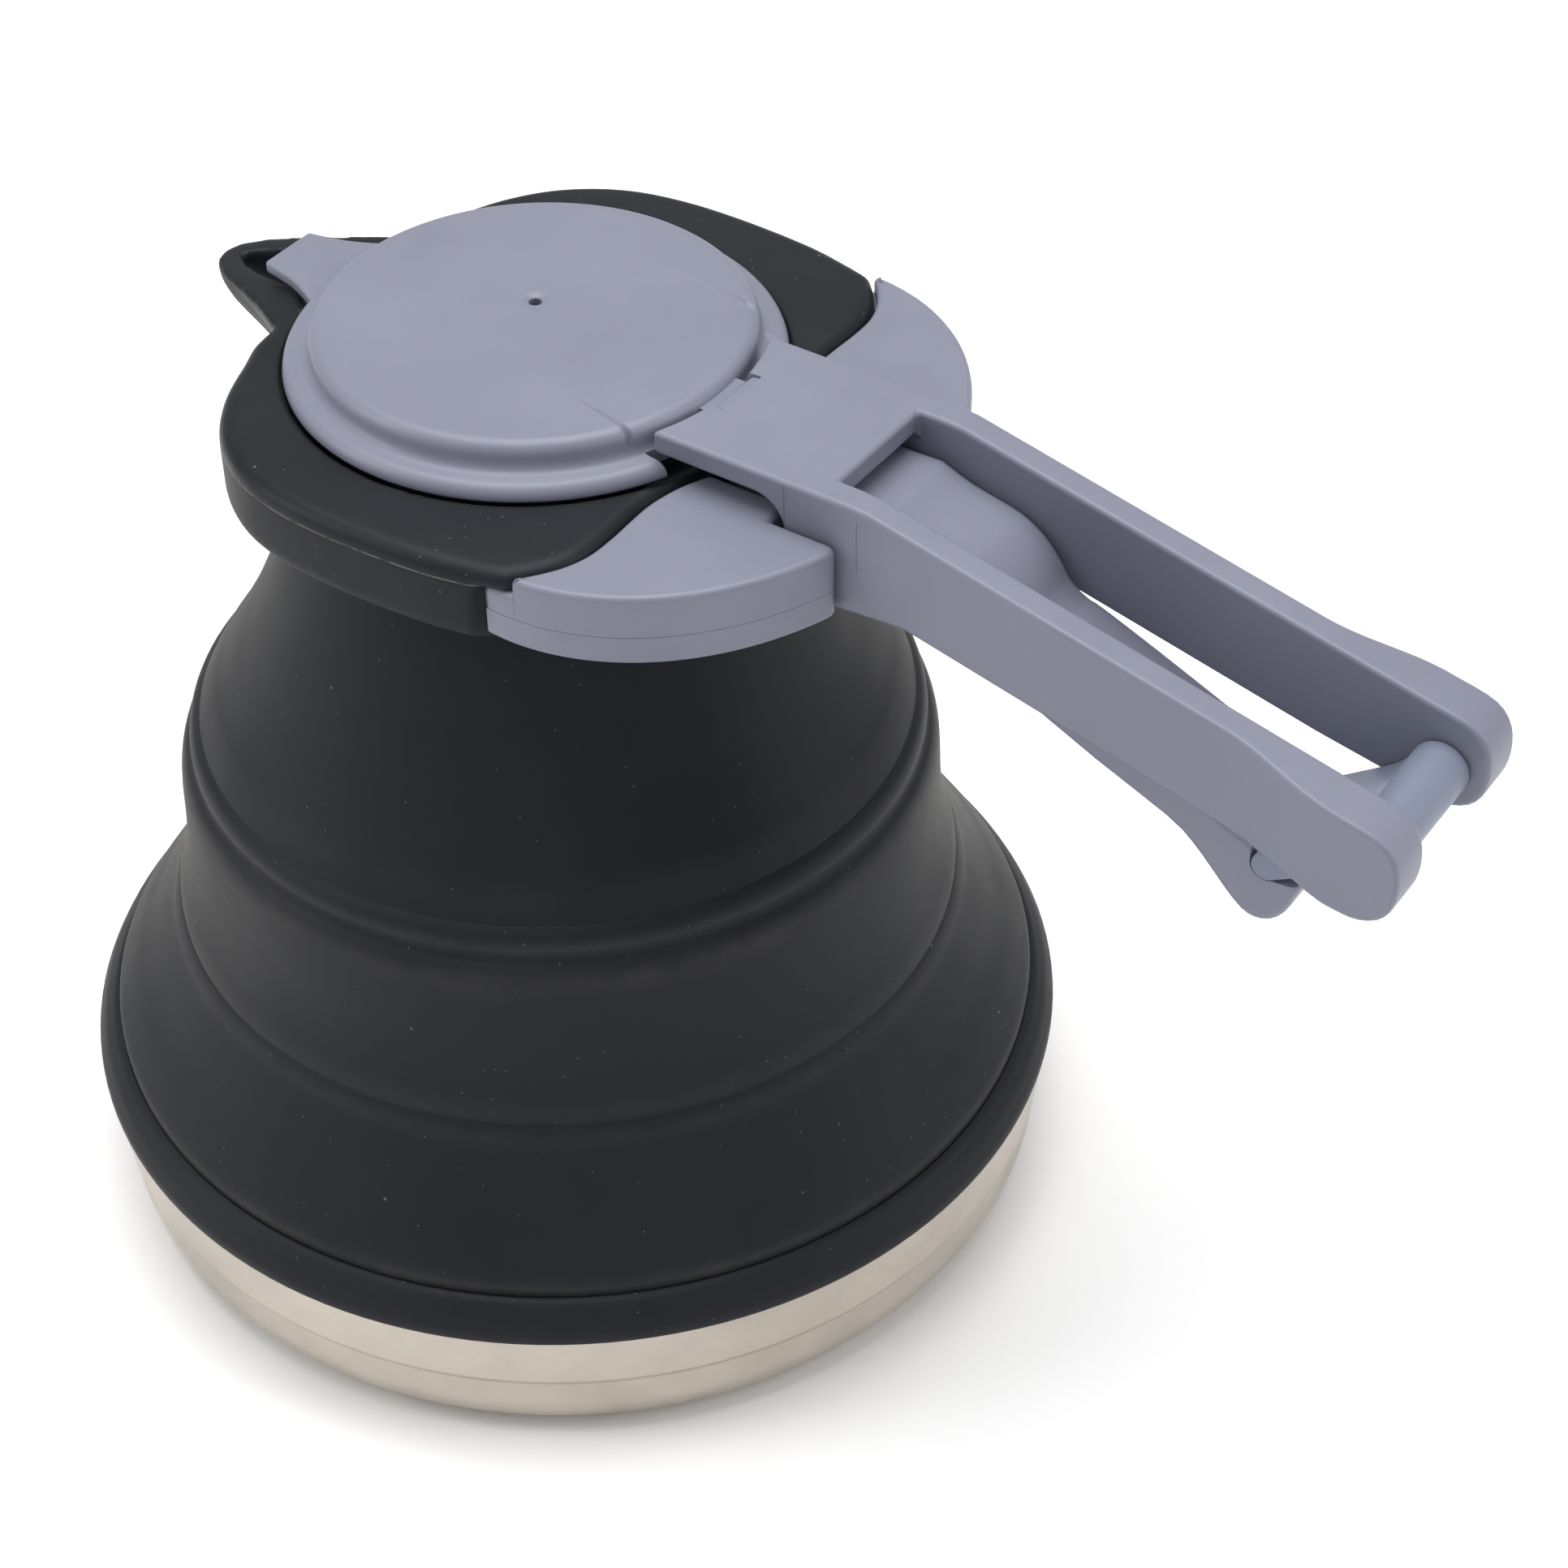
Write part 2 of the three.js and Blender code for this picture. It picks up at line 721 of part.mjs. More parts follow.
// The lower handle turns on the pivot pin and cups the link's cross bar in an open hook. Its
// outline is in shares of the way from the pivot to that bar.
function lowerHandle() {
  const topShares = [
    [0.165, 0.231], [0.261, 0.186], [0.309, 0.129], [0.348, 0.035], [0.378, -0.067],
    [0.401, -0.186], [0.439, -0.251], [0.477, -0.28], [0.601, -0.431], [0.745, -0.606],
    [0.831, -0.712], [0.931, -0.831],
  ];
  const lowShares = [
    [1.078, -1.059], [1.064, -1.182], [1.045, -1.312], [1.018, -1.398], [0.986, -1.427],
    [0.955, -1.402], [0.918, -1.312], [0.88, -1.194], [0.834, -1.059], [0.776, -0.949],
    [0.615, -0.757], [0.44, -0.525],
  ];
  const place = ([along, down]) => [
    pivotX + (braceX - pivotX) * along,
    pivotZ + (pivotZ - braceZ) * down,
  ];
  const hub = arc(pivotX, pivotZ, hubRadius, 280, 80, 16);
  const outline = [...hub, ...topShares.map(place), ...lowShares.map(place)];
  const notchRadius = bracePinRadius + notchGap;
  const across = lowerHalfWidth + overrun;
  const far = braceX + hubRadius + overrun;
  const mouth = extrudedAcross([
    [braceX - notchRadius, braceZ],
    [braceX, braceZ],
    [braceX + notchRadius / 2, braceZ - notchRadius * 0.8],
    [far, braceZ - notchRadius / 3],
    [far, pivotZ],
    [braceX - notchRadius, pivotZ],
  ], across);
  return extrudedAcross(outline, lowerHalfWidth)
    .subtract(rodAcross(braceX, braceZ, notchRadius, across))
    .subtract(mouth)
    .subtract(pivotHole());
}

// The spring sits round the link's pin, beside the arm on the -Y side
const linkLean = Math.atan2(linkPivotZ - braceZ, linkPivotX - braceX);
const springRadius = (linkPinRadius + gap + springWire / 2) / Math.cos(Math.PI / 8);
const springPartTurn = Math.PI - linkLean - THREE.MathUtils.degToRad(springArmLegDegrees);
const springTurn = 2 * Math.PI * springWholeTurns + springPartTurn;
const springWidth = springPitch * springTurn / (2 * Math.PI);
const springArmY = gap + springWire / 2 - armInnerHalfWidth;
const springLinkY = springArmY + springWidth;

// The spring's centre line: a straight leg along the link, the curls, and a straight leg out
// along the arm
function springLine() {
  const startAngle = linkLean - Math.PI / 2;
  const endAngle = startAngle + springTurn;
  const steps = Math.round(8 * springTurn / (2 * Math.PI));
  const curls = Array.from({ length: steps + 1 }, (_, i) => {
    const angle = startAngle + springTurn * i / steps;
    return new THREE.Vector3(
      linkPivotX + springRadius * Math.cos(angle),
      springLinkY - springWidth * i / steps,
      linkPivotZ + springRadius * Math.sin(angle),
    );
  });
  const linkWay = new THREE.Vector3(-Math.cos(linkLean), 0, -Math.sin(linkLean));
  const armWay = new THREE.Vector3(-Math.sin(endAngle), 0, Math.cos(endAngle));
  return [
    curls[0].clone().addScaledVector(linkWay, springLinkLeg),
    ...curls,
    curls.at(-1).clone().addScaledVector(armWay, springArmLeg),
  ];
}

function linkSpring() {
  const line = springLine();
  const axis = new THREE.Vector3(0, 1, 0);
  return lofted(line.map((point, i) => {
    const along = line[Math.min(i + 1, line.length - 1)].clone();
    along.sub(line[Math.max(i - 1, 0)]).normalize();
    const side = axis.clone().addScaledVector(along, -axis.dot(along)).normalize();
    const out = along.clone().cross(side);
    return arc(0, 0, springWire / 2, 0, 288, 4).map(([a, b]) => (
      point.clone().addScaledVector(side, a).addScaledVector(out, b).toArray()
    ));
  }));
}

// The least gap between stretches of the spring's wire that aren't neighbours
function springLeastGap() {
  const line = new THREE.CurvePath();
  const points = springLine();
  points.slice(1).forEach((point, i) => line.add(new THREE.LineCurve3(points[i], point)));
  const samples = line.getSpacedPoints(400);
  const apart = Math.ceil(400 * Math.PI * springRadius / line.getLength());
  let least = Infinity;
  for (let i = 0; i < samples.length; i++) {
    for (let k = i + apart; k < samples.length; k++) {
      least = Math.min(least, samples[i].distanceTo(samples[k]));
    }
  }
  return least - springWire;
}

// A groove in the link for one leg of the spring, let in from the link's -Y face
function springGroove(start, end, y) {
  const way = end.clone().sub(start).normalize();
  const side = springWire / 2 + gap;
  const [along, across] = [[way.x * side, way.z * side], [-way.z * side, way.x * side]];
  const corner = (point, forward, left) => [
    point.x + along[0] * forward + across[0] * left,
    point.z + along[1] * forward + across[1] * left,
  ];
  const outline = [
    corner(start, -1, 1), corner(end, 1, 1), corner(end, 1, -1), corner(start, -1, -1),
  ];
  const outerY = -armInnerHalfWidth - overrun;
  return extrudedAcross(outline, (y + side - outerY) / 2, (y + side + outerY) / 2);
}

// The link is drawn in from a barrel between the arm tips to the cross bar in the hook
function link() {
  const lean = THREE.MathUtils.radToDeg(linkLean);
  const length = Math.hypot(linkPivotX - braceX, linkPivotZ - braceZ);
  const spread = THREE.MathUtils.radToDeg(Math.acos((linkBarrelRadius - bracePinRadius) / length));
  const outline = [
    ...arc(linkPivotX, linkPivotZ, linkBarrelRadius, lean - 180 + spread, lean + 180 - spread, 16),
    ...arc(braceX, braceZ, bracePinRadius, lean + 180 - spread, lean + 180 + spread, 10),
  ];
  const roomRadius = springRadius + springWire / 2 + gap;
  const roomEnd = springLinkY + springWire / 2 + gap;
  const outerY = -armInnerHalfWidth - overrun;
  const room = rodAcross(
    linkPivotX, linkPivotZ, roomRadius, (roomEnd - outerY) / 2, (roomEnd + outerY) / 2);
  const line = springLine();
  return extrudedAcross(outline, armInnerHalfWidth - gap)
    .subtract(room)
    .subtract(springGroove(line[1], line[0], springLinkY))
    .subtract(springGroove(line.at(-2), line.at(-1), springArmY))
    .subtract(rodAcross(linkPivotX, linkPivotZ, linkPinRadius + gap, armInnerHalfWidth));
}

// The tongue over the spout narrows between concave sides
function lidTongue() {
  const sideShares = [[0, 1], [0.25, 0.62], [0.55, 0.28], [1, 0]];
  const reach = tongueLength - tongueRootX;
  const side = smoothLine(sideShares.map(([along, wide]) => [
    -tongueRootX - reach * along,
    tongueTipHalfWidth + (tongueRootHalfWidth - tongueTipHalfWidth) * wide,
  ]), 8);
  const outline = [[-lidSkirtRadius, tongueRootHalfWidth], ...side];
  return extrudedUp([...outline, ...mirrored(outline)], lidBottom, lidBottom + tongueThickness);
}

// The hinge lug reaches from the lid's edge to its knuckle in the plate's notch
function lidLug() {
  const root = lidSkirtRadius - lidSkirtWall / 2;
  return extrudedAcross([
    [root, lidInside - lidEdge],
    ...arc(hingeX, hingeZ, knuckleRadius, -90, 90, 8),
    [root, lidHeight - gap],
  ], knuckleHalfWidth);
}

// The lid's ring is cut back where the plate's nose sits over it
function lidTrim(bottom) {
  const top = plateBottom - gap;
  return rodUp(0, 0, lidRadius + overrun, bottom - overrun, top, roundSteps)
    .subtract(rodUp(0, 0, lidTrimRadius, bottom - 2 * overrun, top + overrun, roundSteps))
    .intersect(block(0, lidRadius + overrun, -wingInnerY, wingInnerY, bottom - overrun, top));
}

function lidCover() {
  const ringBottom = lidBottom - gap - lidRingDrop;
  const ringTop = ringBottom + lidRingHeight;
  const skirtInner = lidSkirtRadius - lidSkirtWall;
  const seatRadius = mouthLipRadius + lidSeatClearance;
  const body = turned([
    [0, lidHeight],
    ...arc(lidDiscRadius - lidEdge, lidHeight - lidEdge, lidEdge, 90, 0, 3),
    [lidSkirtRadius, ringTop + lidEdge / 2],
    [lidSkirtRadius + lidEdge / 2, ringTop],
    [lidRadius - lidEdge / 2, ringTop],
    [lidRadius, ringTop - lidEdge / 2],
    [lidRadius, ringBottom],
    [seatRadius, ringBottom],
    [seatRadius, lidBottom],
    [skirtInner, lidBottom],
    [skirtInner, lidInside],
    [0, lidInside],
  ]);
  return body
    .subtract(lidTrim(ringBottom))
    .add(lidTongue())
    .add(lidLug())
    .subtract(rodUp(ventX, ventY, ventRadius, lidInside - overrun, lidHeight + overrun))
    .subtract(rodAcross(hingeX, hingeZ, hingePinRadius + gap, knuckleHalfWidth + overrun));
}

// The liner is a cup that plugs the mouth, with a groove for its seal
function lidLiner() {
  const bottom = linerTop - plugDepth;
  const flange = lidSkirtRadius - lidSkirtWall - gap;
  const sealBottom = linerTop - sealDrop - sealHeight - gap;
  const sealTop = linerTop - sealDrop + gap;
  return turned([
    [0, bottom],
    [plugRadius - sealSink, bottom],
    [plugRadius, bottom + sealSink],
    [plugRadius, sealBottom],
    [plugRadius - sealSink, sealBottom],
    [plugRadius - sealSink, sealTop],
    [plugRadius, sealTop],
    [plugRadius, linerTop - linerFlange],
    [flange, linerTop - linerFlange],
    [flange, linerTop],
    [plugRadius - plugWall, linerTop],
    [plugRadius - plugWall, bottom + plugWall],
    [0, bottom + plugWall],
  ]).subtract(rodUp(ventX, ventY, ventRadius, bottom - overrun, linerTop));
}

function lidSeal() {
  const inner = plugRadius - sealSink + gap;
  const top = linerTop - sealDrop;
  return turned([
    [inner, top - sealHeight],
    [sealRadius - gap, top - sealHeight],
    [sealRadius, top - sealHeight / 2],
    [sealRadius - gap, top],
    [inner, top],
  ]);
}

addNode('base_pan', basePan(), steel);
addNode('lip_band', lipBand(), silicone);
addNode('lower_cone', lowerCone(), silicone);
addNode('middle_band', middleBand(), silicone);
addNode('upper_cone', upperCone(), silicone);
addNode('collar', collar(), silicone);
addNode('mouth_ring', mouthRing(), plastic);
addNode('yoke_lower', yokeLower(), plastic);
addNode('wing_cover_left', wingCover(), plastic);
addNode('wing_cover_right', wingCover().mirror([0, 1, 0]), plastic);
['front', 'rear'].forEach((end, i) => {
  const screw = wingScrew(screwPlaces()[i]);
  addNode(`wing_screw_left_${end}`, screw, brightSteel);
  addNode(`wing_screw_right_${end}`, screw.mirror([0, 1, 0]), brightSteel);
});
addNode('handle_frame', handleFrame(), plastic);
addNode('handle_pivot_pin', rodAcross(pivotX, pivotZ, pivotPinRadius, pivotPinHalfLength), brightSteel);
addNode('lower_handle', lowerHandle(), plastic);
addNode('link', link(), linkPlastic);
addNode('link_pin', rodAcross(linkPivotX, linkPivotZ, linkPinRadius, linkPinHalfLength), brightSteel);
addNode('link_spring', linkSpring(), brightSteel);
addNode('lid_cover', lidCover(), plastic);
addNode('lid_liner', lidLiner(), plastic);
addNode('lid_seal', lidSeal(), silicone);
addNode('lid_hinge_pin', rodAcross(hingeX, hingeZ, hingePinRadius, hingePinHalfLength), brightSteel);

console.log(`least gap between the spring's curls: ${springLeastGap().toFixed(2)} mm`);

export default group;
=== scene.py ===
import json
import math

import bmesh
import bpy
from mathutils import Matrix, Vector


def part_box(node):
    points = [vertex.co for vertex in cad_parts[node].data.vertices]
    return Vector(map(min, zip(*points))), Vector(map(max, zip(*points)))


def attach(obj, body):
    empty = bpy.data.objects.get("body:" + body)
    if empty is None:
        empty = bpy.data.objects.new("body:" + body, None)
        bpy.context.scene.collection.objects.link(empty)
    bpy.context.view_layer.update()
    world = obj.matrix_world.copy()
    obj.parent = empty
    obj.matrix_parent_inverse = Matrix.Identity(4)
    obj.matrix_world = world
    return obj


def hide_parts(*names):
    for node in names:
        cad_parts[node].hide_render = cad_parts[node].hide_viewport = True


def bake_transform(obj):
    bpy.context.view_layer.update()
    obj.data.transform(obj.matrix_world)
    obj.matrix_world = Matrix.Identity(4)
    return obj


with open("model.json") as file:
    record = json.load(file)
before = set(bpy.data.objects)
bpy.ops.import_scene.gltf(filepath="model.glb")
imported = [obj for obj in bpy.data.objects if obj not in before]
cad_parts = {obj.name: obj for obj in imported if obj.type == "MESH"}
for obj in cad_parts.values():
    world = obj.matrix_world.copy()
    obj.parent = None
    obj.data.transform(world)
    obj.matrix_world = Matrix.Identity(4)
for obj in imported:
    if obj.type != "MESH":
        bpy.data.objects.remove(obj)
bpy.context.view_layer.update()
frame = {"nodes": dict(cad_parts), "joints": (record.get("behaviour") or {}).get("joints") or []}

bl_info = {
    "name": "Collapsible Kettle",
    "version": (1, 0, 0),
    "blender": (4, 5, 0),
    "location": "View3D > Sidebar > Kettle",
    "description": "Dresses the packed frame of a collapsible silicone kettle, piece by piece",
    "category": "Object",
}

MM = 0.001
ROUND_STEPS = 144


# Sizes and colours that a user would change

def linear(colour):
    """A linear colour from an sRGB hex value such as #8f93a5."""
    shares = [int(colour[i:i + 2], 16) / 255 for i in (1, 3, 5)]
    return [c / 12.92 if c <= 0.04045 else ((c + 0.055) / 1.055) ** 2.4 for c in shares]


def size(name, millimetres, description):
    return bpy.props.FloatProperty(
        name=name, description=description, default=millimetres * MM, min=0, unit="LENGTH")


def colour(name, value, description):
    return bpy.props.FloatVectorProperty(
        name=name, description=description, default=linear(value), size=3, min=0, max=1,
        subtype="COLOR")


PAN_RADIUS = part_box("base_pan")[1].x / MM
LIP_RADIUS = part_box("lip_band")[1].x / MM
COLLAR_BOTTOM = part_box("collar")[0].z / MM
COLLAR_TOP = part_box("wing_cover_left")[1].z / MM
LID_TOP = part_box("lid_cover")[1].z / MM
PLATE_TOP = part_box("handle_frame")[1].z / MM
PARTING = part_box("yoke_lower")[1].z / MM
WING_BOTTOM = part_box("yoke_lower")[0].z / MM
LIP_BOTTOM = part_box("lip_band")[0].z / MM


def axis_place(joint):
    """The x and z of a joint's axis, in millimetres."""
    place = next(entry["pos_m"] for entry in frame["joints"] if entry["name"] == joint)
    return place[0] / MM, place[2] / MM


PIVOT = axis_place("handle_fold")
HINGE = axis_place("lid_hinge")
LINK_PIVOT = axis_place("link_swing")
# Radii of the bores on the three axes, and how far the handle's bore runs into the wings
PIVOT_BORE, LINK_BORE, LID_BORE = 2.3, 1.8, 1.1
PIVOT_REACH = 22.8
LINK_BARREL, CROSS_BAR_RADIUS = 4.3, 2.2
CROSS_BAR = tuple(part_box("link")[0][axis] / MM + CROSS_BAR_RADIUS for axis in (0, 2))


class KettleBodySizes(bpy.types.PropertyGroup):
    pan_radius: size("Pan radius", PAN_RADIUS, "Radius of the steel pan's upper band")
    pan_step: size("Pan step", 0.8, "How far the pan's upper band stands out over its lower wall")
    pan_corner: size("Pan corner", 9, "Height of the rounded corner under the pan's wall")
    lip_radius: size("Lip radius", LIP_RADIUS, "Outer radius of the silicone lip round the pan")
    lip_rounding: size("Lip rounding", 2.7, "Rounding of the lip's upper edge")
    cone_wall: size("Cone wall", 2.5, "Wall of the two silicone cones that fold")
    band_wall: size("Band wall", 3, "Wall of the stiff silicone band between the cones")


class KettleTopSizes(bpy.types.PropertyGroup):
    collar_bottom: size("Collar bottom", COLLAR_BOTTOM, "Height of the collar's underside")
    collar_top: size("Collar top", COLLAR_TOP, "Height of the collar's upper side")
    collar_rounding: size("Collar rounding", 2.4, "Rounding of the collar's edges")
    spout_wall: size("Spout wall", 2.6, "Wall of the silicone spout")
    lid_top: size("Lid top", LID_TOP, "Height of the lid's disc")
    lid_edge: size("Lid edge", 2.1, "Rounding of the lid's disc")
    wing_rounding: size("Wing rounding", 1.0, "Rounding of the wings' edges")


class KettleHandleSizes(bpy.types.PropertyGroup):
    plate_top: size("Plate top", PLATE_TOP, "Height of the handle plate's upper side")
    arm_half: size("Arm half width", 14.8, "Half the width over both arms")
    arm_inner: size("Slot half width", 10, "Half the width of the slot between the arms")
    arm_flare: size("Arm flare", 3, "How far each arm's tip stands out")
    arm_rounding: size("Arm rounding", 0.8, "Rounding of the frame's edges")
    lever_half: size("Lower handle half width", 9.4, "Half the width of the lower handle")
    lever_rounding: size("Lower handle rounding", 1.3, "Rounding of the lower handle's edges")


class KettleColours(bpy.types.PropertyGroup):
    silicone: colour("Silicone", "#181a1f", "Charcoal of the silicone body")
    # Dust and chalky smudges, and also the highlight painted on the silicone's fold ridges
    silicone_dust_and_highlight: colour("Silicone dust", "#77726c", "Dust and chalky smudges on the silicone")
    plastic: colour("Plastic", "#777989", "Grey blue of the moulded plastic")
    plastic_light: colour("Plastic, light", "#7c7e8e", "Paler cloud in the moulded plastic")
    link_plastic: colour("Link plastic", "#737a8c", "Slightly bluer plastic of the link")
    steel: colour("Steel", "#c6bdb2", "Brushed steel of the pan")
    bright_steel: colour("Bright steel", "#c9c9c8", "Pins and screws")
    spring_steel: colour("Spring steel", "#6e7174", "Darker wire of the link's spring")
    floor: colour("Floor", "#fafafa", "Pale studio floor")


# Modelling by hand, in code

def mode(kind):
    bpy.ops.object.mode_set(mode=kind)


def select_mesh(action="SELECT"):
    bpy.ops.mesh.select_all(action=action)


def alone(piece=None):
    """Object mode with nothing selected but the piece, if one is given."""
    if bpy.context.object and bpy.context.object.mode != "OBJECT":
        mode("OBJECT")
    bpy.ops.object.select_all(action="DESELECT")
    if piece:
        piece.select_set(True)
        bpy.context.view_layer.objects.active = piece


def edit(piece):
    """Edit mode on the piece alone, with its whole mesh selected."""
    alone(piece)
    mode("EDIT")
    select_mesh()


def place_corners(points):
    """Moves the selected corners, in the order they were made, to points in millimetres."""
    data = bpy.context.object.data
    mesh = bmesh.from_edit_mesh(data)
    for corner, point in zip([v for v in mesh.verts if v.select], points):
        corner.co = Vector(point) * MM
    bmesh.update_edit_mesh(data)


def choose(test):
    """In edit mode, selects the corners whose place in millimetres passes the test."""
    data = bpy.context.object.data
    bpy.ops.mesh.select_mode(type="VERT")
    select_mesh("DESELECT")
    mesh = bmesh.from_edit_mesh(data)
    for corner in mesh.verts:
        corner.select = test(*(corner.co / MM))
    mesh.select_flush(True)
    bmesh.update_edit_mesh(data)


def outline(name, points):
    """Starts a piece as a circle primitive whose corners are moved to the outline's points."""
    alone()
    bpy.ops.mesh.primitive_circle_add(vertices=len(points), radius=MM)
    piece = bpy.context.object
    piece.name = piece.data.name = name
    mode("EDIT")
    place_corners(points)
    return piece


def close_up():
    """Merges doubled corners, turns the faces outwards and leaves edit mode."""
    select_mesh()
    bpy.ops.mesh.remove_doubles(threshold=0.002 * MM)
    bpy.ops.mesh.delete_loose()
    select_mesh()
    bpy.ops.mesh.normals_make_consistent(inside=False)
    mode("OBJECT")


def turned(name, profile, steps=ROUND_STEPS, centre=(0, 0)):
    """A closed outline of (radius, height) spun about an upright axis."""
    x, y = centre
    piece = outline(name, [(x + radius, y, z) for radius, z in profile])
    bpy.ops.mesh.spin(
        steps=steps, angle=math.tau, center=(x * MM, y * MM, 0), axis=(0, 0, 1))
    close_up()
    return piece


def extruded(name, points, way):
    """An outline filled and extruded, both in millimetres."""
    piece = outline(name, points)
    bpy.ops.mesh.edge_face_add()
    bpy.ops.mesh.extrude_region_move(
        TRANSFORM_OT_translate={"value": tuple(step * MM for step in way)})
    close_up()
    return piece


def raised(name, plan, bottom, top):
    """A plan in (x, y) extruded upwards."""
    return extruded(name, [(x, y, bottom) for x, y in plan], (0, 0, top - bottom))


def across(name, side, low_y, high_y):
    """A side outline in (x, z) extruded along Y."""
    return extruded(name, [(x, low_y, z) for x, z in side], (0, high_y - low_y, 0))


def lofted(name, sections):
    """A closed skin bridged through sections of equal point counts."""
    piece = outline(name, sections[0])
    for section in sections[1:]:
        select_mesh("DESELECT")
        bpy.ops.mesh.primitive_circle_add(vertices=len(section), radius=MM)
        place_corners(section)
    select_mesh()
    bpy.ops.mesh.bridge_edge_loops()
    for section in (sections[0], sections[-1]):
        ends = [Vector(point) for point in section]
        choose(lambda *place: min((Vector(place) - end).length for end in ends) < 0.001)
        bpy.ops.mesh.edge_face_add()
    close_up()
    return piece


def rod(name, x, z, radius, low_y, high_y, steps=48):
    circle = [(x + radius * math.cos(math.tau * i / steps),
               z + radius * math.sin(math.tau * i / steps)) for i in range(steps)]
    return across(name, circle, low_y, high_y)


def block(name, low, high):
    plan = [(low[0], low[1]), (high[0], low[1]), (high[0], high[1]), (low[0], high[1])]
    return raised(name, plan, low[2], high[2])


def apply(piece, kind, **settings):
    """Adds a modifier with its settings and applies it."""
    alone(piece)
    modifier = piece.modifiers.new(kind.title(), kind)
    for key, value in settings.items():
        setattr(modifier, key, value)
    bpy.ops.object.modifier_apply(modifier=modifier.name)


def combine(piece, operation, *others):
    """Joins others to the piece, or cuts them out of it, and clears them away."""
    for other in others:
        apply(piece, "BOOLEAN", object=other, operation=operation, solver="EXACT")
        alone(other)
        bpy.ops.object.delete()


def ease_edges(piece, width, segments=3, angle=35):
    """Rounds every edge that turns by more than the angle."""
    apply(piece, "BEVEL", width=width * MM, segments=segments, limit_method="ANGLE",
          angle_limit=math.radians(angle), use_clamp_overlap=False)


def ease_corner(piece, corner, width, segments=5):
    """Rounds the upright edge that stands at a corner of the plan."""
    edit(piece)
    choose(lambda x, y, z: abs(x - corner[0]) < 0.01 and abs(y - corner[1]) < 0.01)
    bpy.ops.mesh.bevel(offset=width * MM, segments=segments, affect="EDGES", clamp_overlap=False)
    mode("OBJECT")


def cut_level(piece, z, above):
    """Cuts away what lies above the level, or below it, and closes the cut."""
    edit(piece)
    bpy.ops.mesh.bisect(plane_co=(0, 0, z * MM), plane_no=(0, 0, 1), use_fill=True,
                        clear_outer=above, clear_inner=not above)
    close_up()


def mirrored_copy(piece, name):
    """A copy across the plane through spout and handle, with its own mesh."""
    alone(piece)
    bpy.ops.object.duplicate(linked=False)
    copy = bpy.context.object
    copy.name = copy.data.name = name
    edit(copy)
    bpy.ops.transform.resize(value=(1, -1, 1), center_override=(0, 0, 0))
    close_up()
    return copy


def smooth(points, steps=5):
    """Points along a smooth curve through the given ones."""
    ends = [points[0], *points, points[-1]]
    line = []
    for before, here, there, after in zip(ends, ends[1:], ends[2:], ends[3:]):
        for k in range(steps):
            t = k / steps
            line.append(tuple(
                0.5 * (2 * b + (c - a) * t + (2 * a - 5 * b + 4 * c - d) * t ** 2
                       + (3 * b - a - 3 * c + d) * t ** 3)
                for a, b, c, d in zip(before, here, there, after)))
    return [*line, tuple(points[-1])]


def arc(x, y, radius, start, end, steps):
    turns = [math.radians(start + (end - start) * i / steps) for i in range(steps + 1)]
    return [(x + radius * math.cos(turn), y + radius * math.sin(turn)) for turn in turns]


def mirror_line(points):
    return [(x, -y) for x, y in reversed(points)]


MATERIALS = {}


def put_on(piece, body, kind, node, angle=40, flat=False):
    """Finishes a piece: smooth shading, its material, its body and the CAD node it stands for."""
    alone(piece)
    bpy.ops.object.shade_smooth_by_angle(angle=math.radians(angle))
    if flat:
        apply(piece, "WEIGHTED_NORMAL", keep_sharp=True, weight=100)
    piece.data.materials.clear()
    piece.data.materials.append(MATERIALS[kind])
    if body:
        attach(piece, body)
    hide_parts(node)


def dress(node, kind):
    """A better material on a CAD node that stays."""
    data = frame["nodes"][node].data
    data.materials.clear()
    data.materials.append(MATERIALS[kind])


# Materials

def add(tree, kind, settings=None, inputs=None):
    """Adds a node with its settings. Each input is a plain value or another node's socket."""
    made = tree.nodes.new(kind)
    for key, value in (settings or {}).items():
        setattr(made, key, value)
    for key, source in (inputs or {}).items():
        if isinstance(source, bpy.types.NodeSocket):
            tree.links.new(source, made.inputs[key])
        else:
            made.inputs[key].default_value = source
    return made


def start_material(name):
    material = bpy.data.materials.get(name)
    if material:
        bpy.data.materials.remove(material)
    material = bpy.data.materials.new(name)
    material.use_nodes = True
    tree = material.node_tree
    tree.nodes.clear()
    place = add(tree, "ShaderNodeTexCoord").outputs["Object"]
    return material, tree, place


def close_material(tree, inputs):
    shader = add(tree, "ShaderNodeBsdfPrincipled", inputs=inputs).outputs["BSDF"]
    add(tree, "ShaderNodeOutputMaterial", inputs={"Surface": shader})


def rgba(value):
    return (*value, 1)


BLACK, FAINT, WHITE = ((level, level, level) for level in (0, 0.2, 1))


def ramp(tree, source, *stops):
    """A colour ramp between two (place, colour) stops."""
    made = add(tree, "ShaderNodeValToRGB", inputs={"Fac": source})
    for element, (place, value) in zip(made.color_ramp.elements, stops):
        element.position = place
        element.color = rgba(value)
    return made.outputs["Color"]


def formula(tree, operation, *terms):
    """A math node's result from sockets or plain numbers."""
    return add(tree, "ShaderNodeMath", {"operation": operation}, dict(enumerate(terms))).outputs[0]


def near(tree, source, value, reach):
    """One where the source is within reach of the value, in millimetres, and zero elsewhere."""
    return formula(tree, "COMPARE", source, value * MM, reach * MM)


def all_of(tree, first, *others):
    for other in others:
        first = formula(tree, "MULTIPLY", first, other)
    return first


def blend_colour(tree, share, tone, value):
    """Blends a plain colour into the tone."""
    return add(tree, "ShaderNodeMix", {"data_type": "RGBA"},
               {0: share, 6: tone, 7: rgba(value)}).outputs[2]


def parts_of(tree, place):
    """The X, Y and Z of a place, by name."""
    return add(tree, "ShaderNodeSeparateXYZ", inputs={0: place}).outputs


